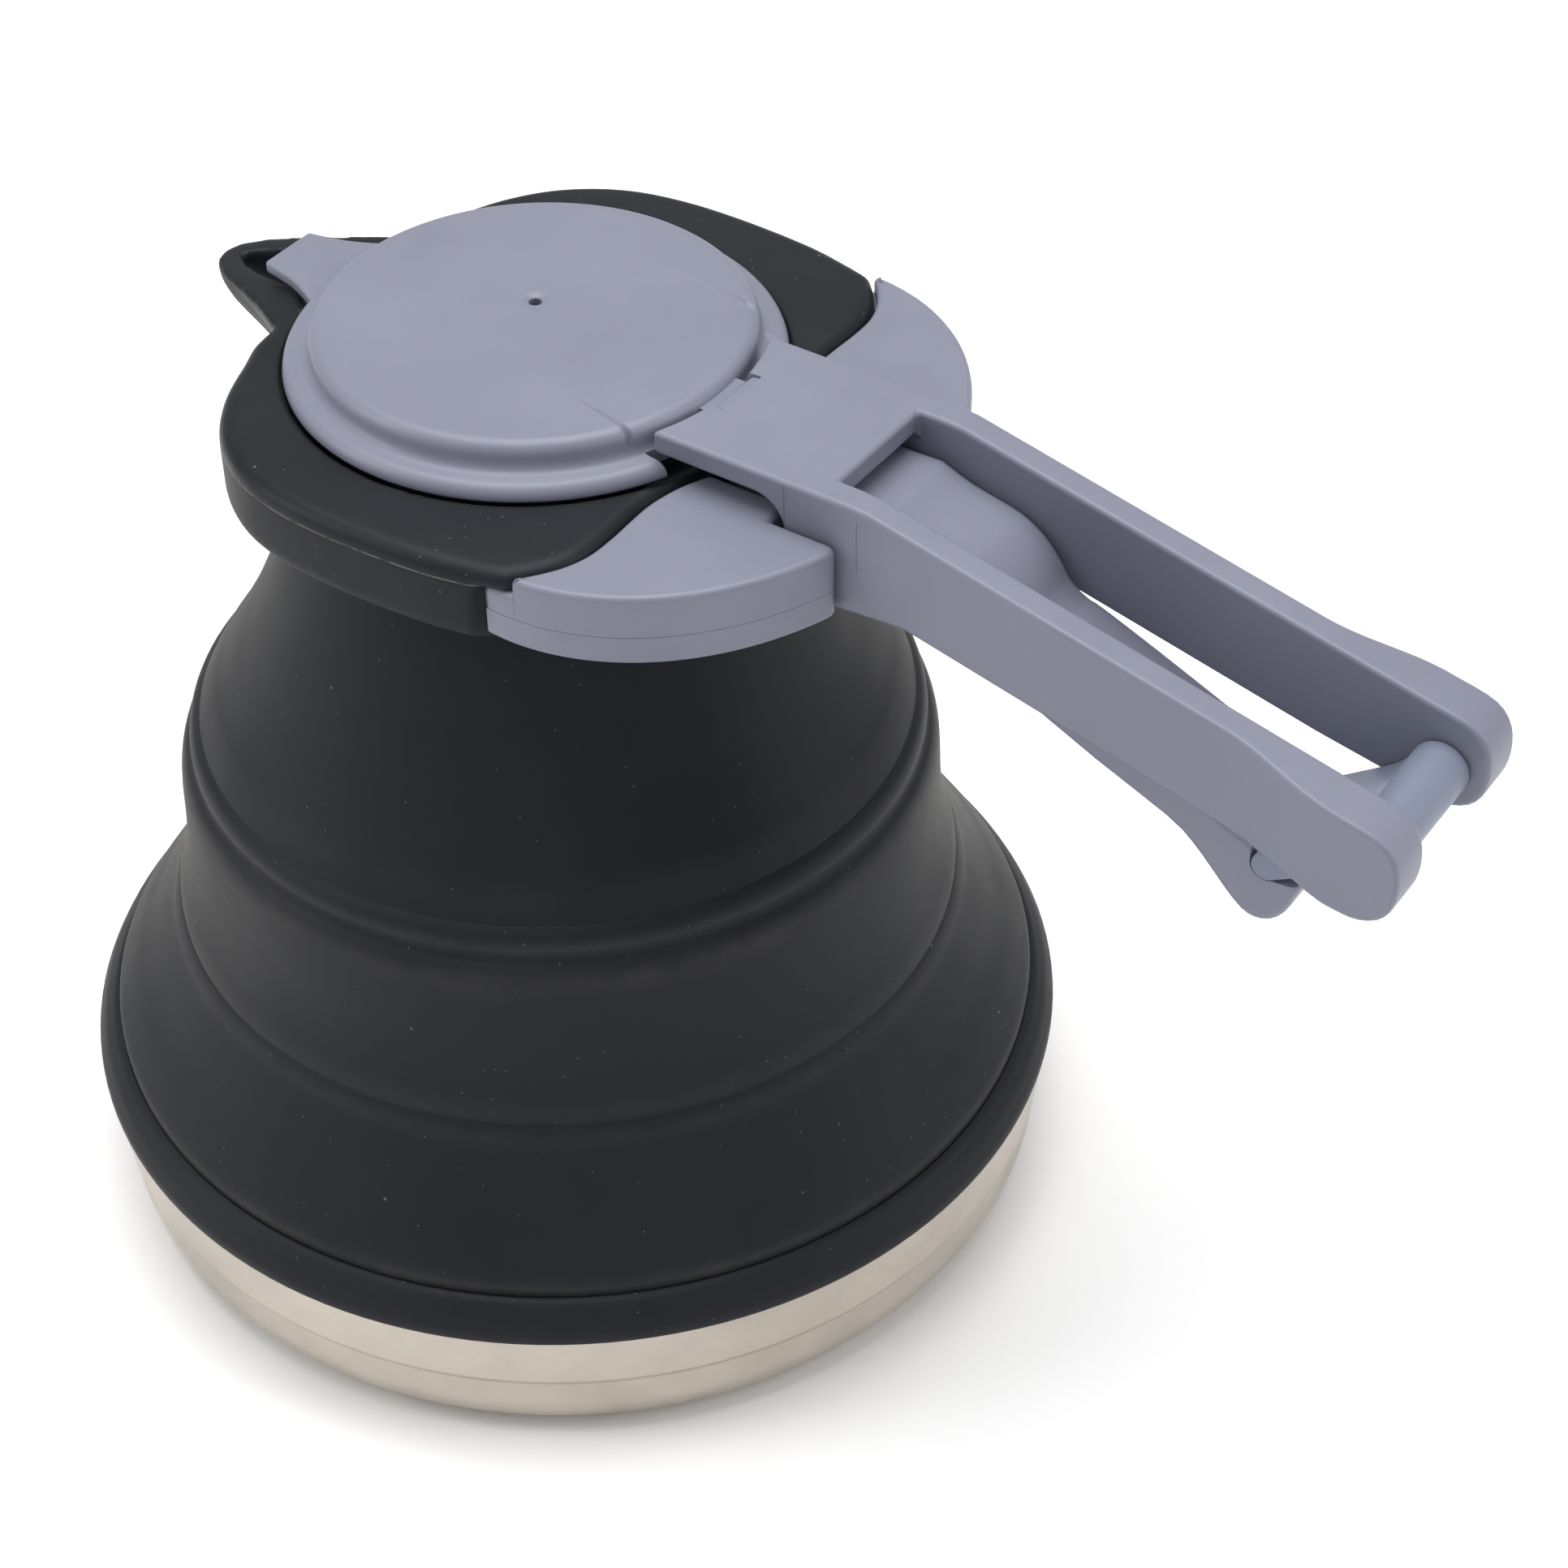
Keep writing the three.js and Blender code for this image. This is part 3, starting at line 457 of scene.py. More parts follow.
def from_axis(tree, place):
    """How far a place lies from the kettle's upright axis."""
    flat = add(tree, "ShaderNodeVectorMath", {"operation": "MULTIPLY"}, {0: place, 1: (1, 1, 0)})
    return add(tree, "ShaderNodeVectorMath", {"operation": "LENGTH"},
               {0: flat.outputs[0]}).outputs["Value"]


def specks(tree, place, spacing, radius, share):
    """Grains of dust: one to a cell of the spacing, in a share of the cells, in millimetres."""
    grain = add(tree, "ShaderNodeTexVoronoi",
                inputs={"Scale": 1 / (spacing * MM), "Vector": place}).outputs
    edge = radius / spacing
    dot = ramp(tree, grain["Distance"], (edge * 0.6, WHITE), (edge, BLACK))
    rare = add(tree, "ShaderNodeSeparateColor", inputs={"Color": grain["Color"]}).outputs["Red"]
    return formula(tree, "MULTIPLY", dot, formula(tree, "GREATER_THAN", rare, 1 - share))


def clouds(tree, place, across_mm, detail=4, roughness=0.6, distortion=0):
    """Noise whose patches are about this many millimetres across."""
    return add(tree, "ShaderNodeTexNoise", inputs={
        "Vector": place, "Scale": 1 / (across_mm * MM), "Detail": detail, "Roughness": roughness,
        "Distortion": distortion}).outputs["Fac"]


def map_range(tree, source, first, last, low=0, high=1, kind="LINEAR"):
    return add(tree, "ShaderNodeMapRange", {"interpolation_type": kind},
               {0: source, 1: first, 2: last, 3: low, 4: high}).outputs[0]


def rough_between(tree, noise, low, high):
    """A roughness from the middle of a noise's range."""
    return map_range(tree, noise, 0.3, 0.7, low, high)


def bumped(tree, height, depth_mm, strength, before=None):
    """A bump from a height, over the bump before it if there is one."""
    inputs = {"Height": height, "Strength": strength, "Distance": depth_mm * MM}
    if before:
        inputs["Normal"] = before
    return add(tree, "ShaderNodeBump", inputs=inputs).outputs["Normal"]


def silicone_rubber(name, colours, smooth_top=False):
    """Moulded silicone rubber: matte, soft at grazing angles, with dust, chalky smudges and painted
    ridge highlights.
    """
    material, tree, place = start_material(name)
    base, chalk_and_highlight_colour = colours.silicone, colours.silicone_dust_and_highlight
    # Handling marks a few centimetres wide
    handled = clouds(tree, place, 30, 5, 0.62)
    tone = ramp(tree, handled, (0.42, base), (0.72, [c * 1.3 for c in base]))
    # Chalk where the folds rub on each other when the kettle is pushed flat, with a painted
    # highlight on the same fold ridges
    ridge_chalk_and_highlight = add(tree, "ShaderNodeAttribute", {"attribute_name": "ridge_chalk_and_highlight"}).outputs["Fac"]
    patchy = ramp(tree, clouds(tree, place, 9, 6, 0.7), (0.35, FAINT), (0.65, WHITE))
    tone = blend_colour(tree, all_of(tree, ridge_chalk_and_highlight, patchy, 0.1), tone, chalk_and_highlight_colour)
    # Dust: fine grains everywhere and a few coarser ones
    dust = formula(tree, "MAXIMUM", specks(tree, place, 1.5, 0.16, 0.13),
                   specks(tree, place, 4, 0.3, 0.09))
    tone = blend_colour(tree, formula(tree, "MULTIPLY", dust, 0.55), tone, chalk_and_highlight_colour)
    rough = rough_between(tree, handled, 0.5, 0.62)
    if smooth_top:
        # The mould's halves meet under the rounded upper edge and leave a thin chalky flash line
        parts = parts_of(tree, place)
        meet = near(tree, parts["Z"], COLLAR_TOP - 2.75, 0.13)
        broken = ramp(tree, clouds(tree, place, 2.5, 3), (0.4, FAINT), (0.52, WHITE))
        body = formula(tree, "GREATER_THAN", parts["X"], -37 * MM)
        outside = formula(tree, "GREATER_THAN", from_axis(tree, place), 43 * MM)
        tone = blend_colour(tree, all_of(tree, meet, broken, body, outside, 0.6), tone, chalk_and_highlight_colour)
        # Above that line the mould was polished
        polished = formula(tree, "GREATER_THAN", parts["Z"], (COLLAR_TOP - 2.7) * MM)
        rough = formula(tree, "SUBTRACT", rough, formula(tree, "MULTIPLY", polished, 0.13))
    # The mould's fine spark-eroded grain
    bump = bumped(tree, clouds(tree, place, 0.5, 2), 0.1, 0.05)
    close_material(tree, {
        "Base Color": tone, "Roughness": rough, "Normal": bump, "IOR": 1.41,
        "Specular IOR Level": 0.28, "Sheen Weight": 0.08, "Sheen Roughness": 0.35,
        "Sheen Tint": rgba(linear("#d8cbb6"))})
    return material


def start_plastic(name, base, light):
    """The nodes that every moulded plastic here shares: cloud, flow marks, specks and grain."""
    material, tree, place = start_material(name)
    tone = ramp(tree, clouds(tree, place, 28, 4, 0.55), (0.35, base), (0.7, light))
    # Flow marks a few millimetres wide
    flow = clouds(tree, place, 6, 3, 0.5, 0.6)
    # Pale scuffs and specks in the surface, well under a millimetre
    scuffs = formula(tree, "MAXIMUM", specks(tree, place, 5, 0.25, 0.12),
                     specks(tree, place, 2.2, 0.14, 0.08))
    tone = blend_colour(tree, formula(tree, "MULTIPLY", scuffs, 0.3), tone,
                        [min(1, c * 1.9) for c in light])
    normal = bumped(tree, flow, 0.4, 0.05, bumped(tree, clouds(tree, place, 0.4, 2), 0.1, 0.05))
    return material, tree, place, tone, flow, normal


def close_plastic(tree, tone, flow, normal):
    close_material(tree, {
        "Base Color": tone, "Roughness": rough_between(tree, flow, 0.38, 0.46), "Normal": normal,
        "IOR": 1.49, "Subsurface Weight": 0.06, "Subsurface Radius": (0.001, 0.001, 0.0012)})


def moulded_plastic(name, base, light):
    """Injection-moulded plastic: satin, faintly clouded, with the mould's fine grain."""
    material, tree, _, tone, flow, normal = start_plastic(name, base, light)
    close_plastic(tree, tone, flow, normal)
    return material


# The seams on the frame's cheeks: x, height of the middle, half length
CHEEK_SEAMS = [(54.7, 157.4, 3.9), (66.8, 155.6, 4.3)]


def frame_plastic(colours):
    """The same plastic with the two seams that the mould's side slides leave on the cheeks."""
    base = colours.plastic
    material, tree, place, tone, flow, normal = start_plastic(
        "moulded_polypropylene_frame", base, colours.plastic_light)
    parts = parts_of(tree, place)
    outside = formula(tree, "GREATER_THAN", formula(tree, "ABSOLUTE", parts["Y"]), 14.4 * MM)
    seams = [all_of(tree, near(tree, parts["X"], x, 0.13), near(tree, parts["Z"], z, reach),
                    outside) for x, z, reach in CHEEK_SEAMS]
    seam = formula(tree, "MULTIPLY", formula(tree, "MAXIMUM", *seams), 0.55)
    tone = blend_colour(tree, seam, tone, [c * 0.45 for c in base])
    close_plastic(tree, tone, flow, normal)
    return material


# The sink creases that run out from the middle of the lid's disc, as (inner end, outer end)
LID_CREASES = [((8.3, -11.5), (25.5, -15)), ((8, 22.4), (25.7, 20.5))]


def lid_plastic(colours):
    """The same plastic with the two soft creases where the disc's material sank as it cooled."""
    material, tree, place, tone, flow, normal = start_plastic(
        "moulded_polypropylene_lid", colours.plastic, colours.plastic_light)
    for (x, y), (far_x, far_y) in LID_CREASES:
        length = math.hypot(far_x - x, far_y - y)
        ahead = ((far_x - x) / length, (far_y - y) / length)
        aside = (-ahead[1], ahead[0])
        along, off = (formula(tree, "SUBTRACT", add(
            tree, "ShaderNodeVectorMath", {"operation": "DOT_PRODUCT"},
            {0: place, 1: (*way, 0)}).outputs["Value"], (x * way[0] + y * way[1]) * MM)
            for way in (ahead, aside))
        # A soft step that deepens outwards, to 0.9 mm
        step = map_range(tree, off, -1.1 * MM, 0.4 * MM, kind="SMOOTHSTEP")
        fade = map_range(tree, along, 0, length * MM)
        inside = formula(tree, "LESS_THAN", along, (length + 4) * MM)
        normal = bumped(tree, all_of(tree, step, fade, inside), 0.9, 1, normal)
    close_plastic(tree, tone, flow, normal)
    return material


def brushed_steel(colours):
    """Stainless steel spun and brushed round the pan: fine rings that stretch the highlights."""
    material, tree, place = start_material("brushed_stainless_steel")
    base = colours.steel
    rings = add(tree, "ShaderNodeCombineXYZ", inputs={
        "X": from_axis(tree, place), "Z": parts_of(tree, place)["Z"]}).outputs[0]
    # Scratches of about 0.25 mm across the brushing
    lines = clouds(tree, rings, 0.26, 4, 0.7)
    # Water marks and handling, a few centimetres wide
    marks = clouds(tree, place, 33, 5, 0.6)
    tone = ramp(tree, marks, (0.35, [c * 0.8 for c in base]), (0.62, base))
    wear = formula(tree, "MULTIPLY_ADD", lines, 0.16, 0.17)
    # The rings spread the highlights upwards and downwards, across the brushing
    close_material(tree, {
        "Base Color": tone, "Roughness": formula(tree, "MULTIPLY_ADD", marks, 0.14, wear),
        "Normal": bumped(tree, lines, 0.06, 0.1), "Metallic": 1, "Anisotropic": 0.7,
        "Anisotropic Rotation": 0.25})
    return material


def plain_steel(name, base, low, high):
    """Drawn wire and bar: steel with light rubbing marks."""
    material, tree, place = start_material(name)
    rub = clouds(tree, place, 1.4, 4, 0.7)
    tone = ramp(tree, rub, (0.3, [c * 0.7 for c in base]), (0.7, base))
    close_material(tree, {
        "Base Color": tone, "Roughness": rough_between(tree, rub, low, high), "Metallic": 1})
    return material


def make_materials(colours):
    base, light, link = colours.plastic, colours.plastic_light, colours.link_plastic
    MATERIALS.update({
        "silicone": silicone_rubber("silicone_rubber", colours),
        "collar": silicone_rubber("silicone_rubber_collar", colours, smooth_top=True),
        "plastic": moulded_plastic("moulded_polypropylene", base, light),
        "frame": frame_plastic(colours),
        "lid": lid_plastic(colours),
        "link": moulded_plastic("moulded_acetal", link, [c * 1.08 for c in link]),
        "steel": brushed_steel(colours),
        "bright": plain_steel("plated_steel", colours.bright_steel, 0.22, 0.4),
        "spring": plain_steel("spring_steel", colours.spring_steel, 0.3, 0.5),
    })


# Pieces

# The silicone wall's outer line from the lip to the collar, as (radius, height)
LOWER_FOLD = [(77.95, 31.05), (77.95, 32.2), (78.05, 33), (78.1, 33.7), (77.85, 34.6), (77.2, 35.7),
              (76.1, 37.4), (74.4, 40), (71.73, 43.85), (68.6, 49.3), (66.8, 52.7), (66.1, 54.4),
              (65.5, 55.6), (65, 56.4), (64.8, 56.65)]
BAND = [(64.8, 56.65), (64.85, 57.3), (64.8, 58.2), (64.3, 60.2), (63.5, 63.0), (62.75, 66.6),
        (62.25, 70.5), (61.95, 75), (61.8, 79.5), (61.6, 82.4), (61.2, 84.3), (60.6, 85.5),
        (59.9, 86.2), (59.45, 86.9), (59.5, 87.7), (59.6, 88.7), (59.4, 89.7), (58.9, 90.7),
        (58.3, 91.3), (57.7, 91.8)]
UPPER_FOLD = [(57.7, 91.8), (57.4, 92.4), (57, 93.2), (56.3, 94.5), (54.9, 96.8), (53.3, 99.15),
              (51, 103), (48.35, 107.8), (45.9, 113), (43.7, 118), (41.7, 123), (39.7, 128.1),
              (37.9, 132.5), (36.3, 136.5), (34.8, 140.2), (34.3, 142.3)]
# Where dust and rubbing lighten the silicone, with a highlight painted on the fold ridges: (height,
# spread, strength)
RIDGE_CHALK_AND_HIGHLIGHT_LEVELS = [(33.2, 1.6, 1.0), (54.6, 1.2, 0.5), (59.0, 1.6, 0.35), (83.6, 2.4, 0.75),
               (88.9, 1.2, 0.6), (95.5, 2.0, 0.25)]


def mark_ridge_chalk_and_highlight(piece):
    """Stores on each corner its chalk and painted highlight, so that the marks follow the silicone
    as it folds.
    """
    ridge_chalk_and_highlight = piece.data.attributes.new("ridge_chalk_and_highlight", "FLOAT", "POINT")
    for corner in piece.data.vertices:
        z = corner.co.z / MM
        ridge_chalk_and_highlight.data[corner.index].value = max(
            strength * math.exp(-((z - height) / spread) ** 2)
            for height, spread, strength in RIDGE_CHALK_AND_HIGHLIGHT_LEVELS)


# The three pieces of the wall are cut from one curve, so that the shading runs on over the seams
WALL = smooth([*LOWER_FOLD, *BAND[1:], *UPPER_FOLD[1:]], 3)
BAND_START = WALL.index(LOWER_FOLD[-1])
BAND_END = WALL.index(BAND[-1])


def wall_ring(name, outside, wall):
    """A wall of even thickness inside an outer line."""
    inside = [(radius - wall, z) for radius, z in reversed(outside)]
    ring = turned(name, [*outside, *inside])
    mark_ridge_chalk_and_highlight(ring)
    return ring


def steel_pan(sizes):
    band = sizes.pan_radius / MM
    low = band - sizes.pan_step / MM
    corner = sizes.pan_corner / MM
    outside = [
        *[(71 + (low - 71) * x, corner + corner * z) for x, z in arc(0, 0, 1, -90, 0, 14)],
        (low, 13.2), (low + 0.08, 13.7), (low + 0.3, 14.1), (band - 0.2, 14.5), (band - 0.03, 14.9),
        (band, 15.4), (band, 28.1), (band - 0.15, 28.35), (band - 0.85, 28.35), (band - 1, 28.1),
    ]
    inside = [
        (band - 1, 15.6), (band - 1.2, 14.8), (low - 1, 14.2), (low - 1, 13.4),
        *[(71 + (low - 72) * x, corner + (corner - 1) * z) for x, z in arc(0, 0, 1, 0, -90, 14)],
    ]
    pan = turned("steel_pan", [(0, 0), *outside, *inside, (0, 1)])
    put_on(pan, "base", "steel", "base_pan", angle=30)


def silicone_walls(sizes):
    lip = sizes.lip_radius / MM
    edge = sizes.lip_rounding / MM
    cone = sizes.cone_wall / MM
    foot = LIP_BOTTOM
    # The lip falls away from the fold in a nearly flat slope and turns down over its rounding
    slope = smooth([(lip, foot + 1.0), (lip - 0.15, foot + 1.0 + edge * 0.35), (lip - 0.7, 28.6),
                    (81.0, 29.8), (80.1, 30.8), (79.3, 31.6)], 3)
    profile = [
        (81.3, foot + 0.2), (81.5, foot), (lip - 0.4, foot), (lip - 0.1, foot + 0.15),
        (lip, foot + 0.5), *slope, (78.6, 32.0), (78.15, 32.05), (78.02, 31.8),
        (78.02, 31.0), (77.6, 30.9), (77.6, foot), (79.7, foot), (79.7, 28.7), (81.3, 28.7),
    ]
    put_on(turned("silicone_lip", profile), "base", "silicone", "lip_band")
    lower = wall_ring("silicone_lower_fold", WALL[:BAND_START + 1], cone)
    put_on(lower, None, "silicone", "lower_cone", angle=60)
    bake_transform(lower)
    band = wall_ring("silicone_band", WALL[BAND_START:BAND_END + 1], sizes.band_wall / MM)
    put_on(band, "middle", "silicone", "middle_band", angle=60)
    upper = wall_ring("silicone_upper_fold", WALL[BAND_END:], cone)
    put_on(upper, None, "silicone", "upper_cone", angle=60)
    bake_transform(upper)


# The collar's plan from the spout round one side to the S-shaped edge before the wing
COLLAR_FRONT = [(-39, 0), (-38.6, 18), (-36.3, 25), (-32.4, 34), (-26.5, 41.5), (-17.9, 47),
                (-7.8, 49.5), (4, 50), (16.6, 49.25), (24.5, 47.75), (29.4, 46.5)]
COLLAR_WING_EDGE = [(29.4, 46.5), (31.7, 43.9), (34.2, 40.2), (35.7, 36), (36.0, 31), (35.8, 26),
                    (35.8, 21), (36.9, 15.6), (38.6, 11.5)]
# The wings' plan is cut from an ellipse round this x, with this half length and half width
WING_MIDDLE, WING_LENGTH, WING_WIDTH = 29, 37.8, 46.5
# How near the wings come to the middle beside the plate, and under its nose up to the nose's end
WING_INNER, UNDER_NOSE, NOSE_END = 15.3, 10.7, 52.7
WING_GAP = 0.3
# The wings' lower layer runs on under the collar: how far forwards, and how high
FOOT_LEAD = 5
WING_FOOT_TOP = COLLAR_TOP - 2.9
# Places of the screws in the left wing, as (x, y)
WING_SCREWS = [(41.85, 31.6), (52.81, 27.1)]

# Stations of the spout: x, half width, rim height, depth under the rim
SPOUT = [(-30, 16.5, 155, 13), (-36, 16.5, 155, 13), (-40, 14.6, 154.9, 12.8),
         (-44, 12.3, 154.6, 12.2), (-48, 10.3, 154.2, 11.2), (-52, 8.5, 153.7, 9.9),
         (-55.5, 6.9, 153.2, 8.4), (-58.4, 5.2, 152.8, 6.9), (-60.4, 3.5, 152.5, 5.6),
         (-61.5, 1.8, 152.3, 4.4), (-61.9, 0.7, 152.2, 3.6)]
# Stations of the channel inside it: x, half width, depth. The rim that it leaves is thick and blunt
CHANNEL = [(-27, 14, 13), (-33, 12.5, 13), (-37, 9.2, 12.5), (-40.5, 6.2, 12), (-44.6, 4.9, 11.4),
           (-49, 4.4, 10.4), (-52, 3.7, 9.4), (-54.8, 2.7, 8.2), (-57, 1.4, 7), (-58, 0.5, 6)]


def wing_edge(lead, inner, outer, inset=0):
    """The wing's front edge between two distances from the middle, drawn forwards by the lead."""
    span = WING_WIDTH - WING_INNER
    return [(x + WING_GAP + inset - lead * ((y - WING_INNER) / span) ** 2, y)
            for x, y in smooth(COLLAR_WING_EDGE, 4) if inner < y < outer]


def silicone_collar(sizes):
    bottom, top = sizes.collar_bottom / MM, sizes.collar_top / MM
    wall = sizes.spout_wall / MM
    side = [*smooth(COLLAR_FRONT, 4)[:-1], *smooth(COLLAR_WING_EDGE, 4)]
    collar = raised("silicone_collar", [*side, *mirror_line(side)[:-1]], bottom, top)
    ease_edges(collar, sizes.collar_rounding / MM, 4, 60)

    def outer(x, half, rim, depth):
        return [(x, half * a, rim + depth * b) for a, b in arc(0, 0, 1, 180, 360, 20)]

    def channel(x, width, depth):
        trough = [(x, width * a, top - 1 + (depth - wall) * b)
                  for a, b in arc(0, 0, 1, 180, 360, 20)]
        return [(x, -width, top + 3), *trough, (x, width, top + 3)]

    combine(collar, "UNION", lofted("spout", [outer(*station) for station in SPOUT]))
    combine(
        collar, "DIFFERENCE",
        turned("bore", [(0, bottom - 3), (31.1, bottom - 3), (31.1, top + 3), (0, top + 3)]),
        turned("seat", [(34.2, top + 3), (34.2, top - 3), (37.95, top - 3), (38.0, top - 0.4),
                        (38.3, top), (38.3, top + 3)]),
        lofted("channel", [channel(*station) for station in CHANNEL]))
    # The wings' lower layer sits in a pocket under the collar's edge
    pocket = wing_edge(FOOT_LEAD, WING_INNER, 50)
    pocket = [(pocket[0][0], 53), *pocket, (pocket[-1][0], 0), (43, 0), (43, 53)]
    cutter = raised("pocket", pocket, bottom - 3, WING_FOOT_TOP + 0.15)
    combine(collar, "DIFFERENCE", mirrored_copy(cutter, "pocket_right"), cutter)
    apply(collar, "REMESH", mode="VOXEL", voxel_size=0.52 * MM, adaptivity=0)
    apply(collar, "SMOOTH", factor=0.5, iterations=11)
    put_on(collar, "top", "collar", "collar", angle=60)


def mouth_parts():
    ring = turned("mouth_ring_turned", [
        (28.8, 142.6), (29.1, 142.3), (30.8, 142.3), (30.8, 155), (29.2, 155), (28.8, 154.6)])
    window = block("window", (-34, -13.9, 147), (0, 13.9, 158))
    combine(ring, "DIFFERENCE", window)
    ease_edges(ring, 0.25, 2, 50)
    put_on(ring, "top", "plastic", "mouth_ring")


def wing_plan(lead, inset):
    """A wing's plan, drawn forwards at its outer end by the lead and set in by the inset."""
    cheek, under_nose = WING_INNER + inset, UNDER_NOSE + inset

    def front_line(draw):
        return wing_edge(draw, under_nose, WING_WIDTH - 0.1, inset)

    def end(draw):
        x = front_line(draw)[0][0] + WING_GAP
        return math.degrees(math.acos((x - WING_MIDDLE) / WING_LENGTH))

    start = math.degrees(math.asin(WING_INNER / WING_WIDTH))
    rim = [*arc(0, 0, 1, start, start, 1)[1:], *arc(0, 0, 1, start + 4.5, end(0), 26)]
    if lead:
        rim += arc(0, 0, 1, end(0), end(lead), 4)[1:]
    rim = [(WING_MIDDLE + (WING_LENGTH - inset) * x, (WING_WIDTH - inset) * y) for x, y in rim]
    rim[0] = (rim[0][0], cheek)
    front = front_line(lead)
    # The acute tip is blunted
    tip = [Vector(rim[-2]).lerp(rim[-1], 0.6), Vector(front[1]).lerp(front[0], 0.6)]
    # The wing runs on under the plate's nose, up to the plate's cheek
    nose = NOSE_END - inset
    inner = [(front[-1][0], under_nose), (nose, under_nose), (nose, cheek)]
    return [*rim[:-1], *[tuple(point) for point in tip], *front[1:], *inner]


def wing_layer(name, lead, bottom, top, rounding, inset=0):
    plan = wing_plan(lead, inset)
    layer = raised(name, plan, bottom, top)
    ease_corner(layer, plan[0], 2.2)
    ease_edges(layer, rounding, 4, 50)
    return layer


def wings(sizes):
    bottom, top = WING_BOTTOM, sizes.collar_top / MM
    edge = sizes.wing_rounding / MM
    cover = wing_layer("wing_cover_left_moulding", 0, PARTING - 3, top, edge)
    foot = wing_layer("cover_foot", FOOT_LEAD, PARTING - 3, WING_FOOT_TOP, edge, 0.02)
    lower = wing_layer("yoke_moulding", FOOT_LEAD, bottom, PARTING + 3, 0.7)
    # Cover and yoke meet at a tight parting line. Cover and foot stay two shells in one mesh
    for layer, spare in ((cover, 0), (foot, 0.05)):
        cut_level(layer, PARTING + 0.07, above=False)
        combine(layer, "DIFFERENCE",
                rod("hole", *PIVOT, PIVOT_BORE + spare, 10, PIVOT_REACH + spare))
    cut_level(lower, PARTING, above=True)
    alone(cover)
    foot.select_set(True)
    bpy.ops.object.join()
    right = mirrored_copy(cover, "wing_cover_right_moulding")
    ring = [*arc(0, 0, 38.4, -135, 135, 90), *arc(0, 0, 33.8, 135, -135, 90)]
    combine(
        lower, "UNION",
        mirrored_copy(lower, "wing_right"),
        raised("yoke_ring", ring, PARTING - 3.6, PARTING - 0.02),
        block("bridge", (36.1, -17, bottom + 0.3), (46.5, 17, PARTING - 0.01)))
    for x, y in WING_SCREWS:
        for side in (-1, 1):
            combine(lower, "DIFFERENCE", turned(
                "screw_hole", [(0, bottom - 3), (3.1, bottom - 3), (3.1, bottom + 2.7),
                               (1.8, bottom + 2.7), (1.8, 160), (0, 160)], 32, (x, y * side)))
    combine(lower, "DIFFERENCE", rod("hole", *PIVOT, PIVOT_BORE, -PIVOT_REACH, PIVOT_REACH))
    put_on(cover, "top", "plastic", "wing_cover_left", flat=True)
    put_on(right, "top", "plastic", "wing_cover_right", flat=True)
    put_on(lower, "top", "plastic", "yoke_lower", flat=True)


# The arms' side outline behind the plate, as (x, z)
ARM_TIP_LINE = [(144.2, 145.2), (148.4, 144.3), (151.0, 142.9), (152.5, 140.6), (153.0, 137.8),
                (152.9, 135.0), (152.2, 132.4), (150.7, 130.4), (148.3, 129.2), (145.8, 129.0),
                (142.6, 129.4)]
# The arms' tips flare outwards along this stretch, cut into this many even steps
FLARE_START, FLARE_END, FLARE_STEPS = 124.5, 143, 14


def handle_frame_piece(sizes):
    top = sizes.plate_top / MM
    half, inner = sizes.arm_half / MM, sizes.arm_inner / MM
    under = top - 3.8
    side = [
        (68.4, top - 0.3), *smooth(ARM_TIP_LINE, 2), (138, 130.8), (127, 132.8), (74.4, 144.3),
        *arc(*PIVOT, 5.1, -90, -180, 8), *arc(49.4, under - 5, 5, 0, 90, 8),
        (30, under), (30, top), (64.6, top),
    ]
    piece = across("handle_frame_moulding", side, -half, half)
    combine(
        piece, "DIFFERENCE",
        turned("nose", [(0, 150), (35.4, 150), (35.4, 170), (0, 170)]),
        block("slot", (61, -inner, 100), (170, inner, 170)),
        block("under", (49.4, -inner, 100), (64, inner, under)))
    ease_edges(piece, sizes.arm_rounding / MM, 4, 40)
    edit(piece)
    step = (FLARE_END - FLARE_START) / FLARE_STEPS
    for i in range(FLARE_STEPS):
        select_mesh()
        bpy.ops.mesh.bisect(plane_co=((FLARE_START + i * step) * MM, 0, 0), plane_no=(1, 0, 0))
    for i in range(FLARE_STEPS):
        x = FLARE_START + (i + 1) * step
        before, after = (math.cos(math.pi * n / FLARE_STEPS) for n in (i, i + 1))
        share = 0.5 * (before - after)
        for way in (-1, 1):
            choose(lambda px, py, pz: px > x - step * 0.5 and py * way > 12)
            bpy.ops.transform.translate(value=(0, way * share * sizes.arm_flare, 0))
    mode("OBJECT")
    combine(
        piece, "DIFFERENCE",
        block("knuckle_room", (30, -4.9, 150), (HINGE[0], 4.9, 170)),
        rod("knuckle_round", *HINGE, 1.97, -4.9, 4.9, 32),
        rod("lid_pin_hole", *HINGE, LID_BORE, -7.9, 7.9, 24),
        rod("link_pin_hole", *LINK_PIVOT, LINK_BORE, -14.9, 14.9, 32),
        rod("pivot_hole", *PIVOT, PIVOT_BORE, -30, 30, 32))
    put_on(piece, "upper_handle", "frame", "handle_frame", flat=True)


# The lower handle's upper and lower lines, as (x, z)
LEVER_TOP = [(66, 156.2), (71.2, 154.2), (78, 152.7), (81.4, 151.3), (84.2, 149.1), (86.3, 146.5),
             (88, 143.9), (90.6, 142.1), (93.3, 141.3), (102.1, 137.8), (112.3, 133.5),
             (118.4, 130.9), (125.5, 127.8)]
LEVER_LOW = [(135.9, 122.4), (134.9, 119.4), (133.6, 116.2), (131.7, 114.1), (129.4, 113.4),
             (127.2, 114.0), (124.6, 116.2), (121.9, 119.1), (118.6, 122.4), (114.5, 125.1),
             (103.1, 129.8), (90.7, 135.5)]


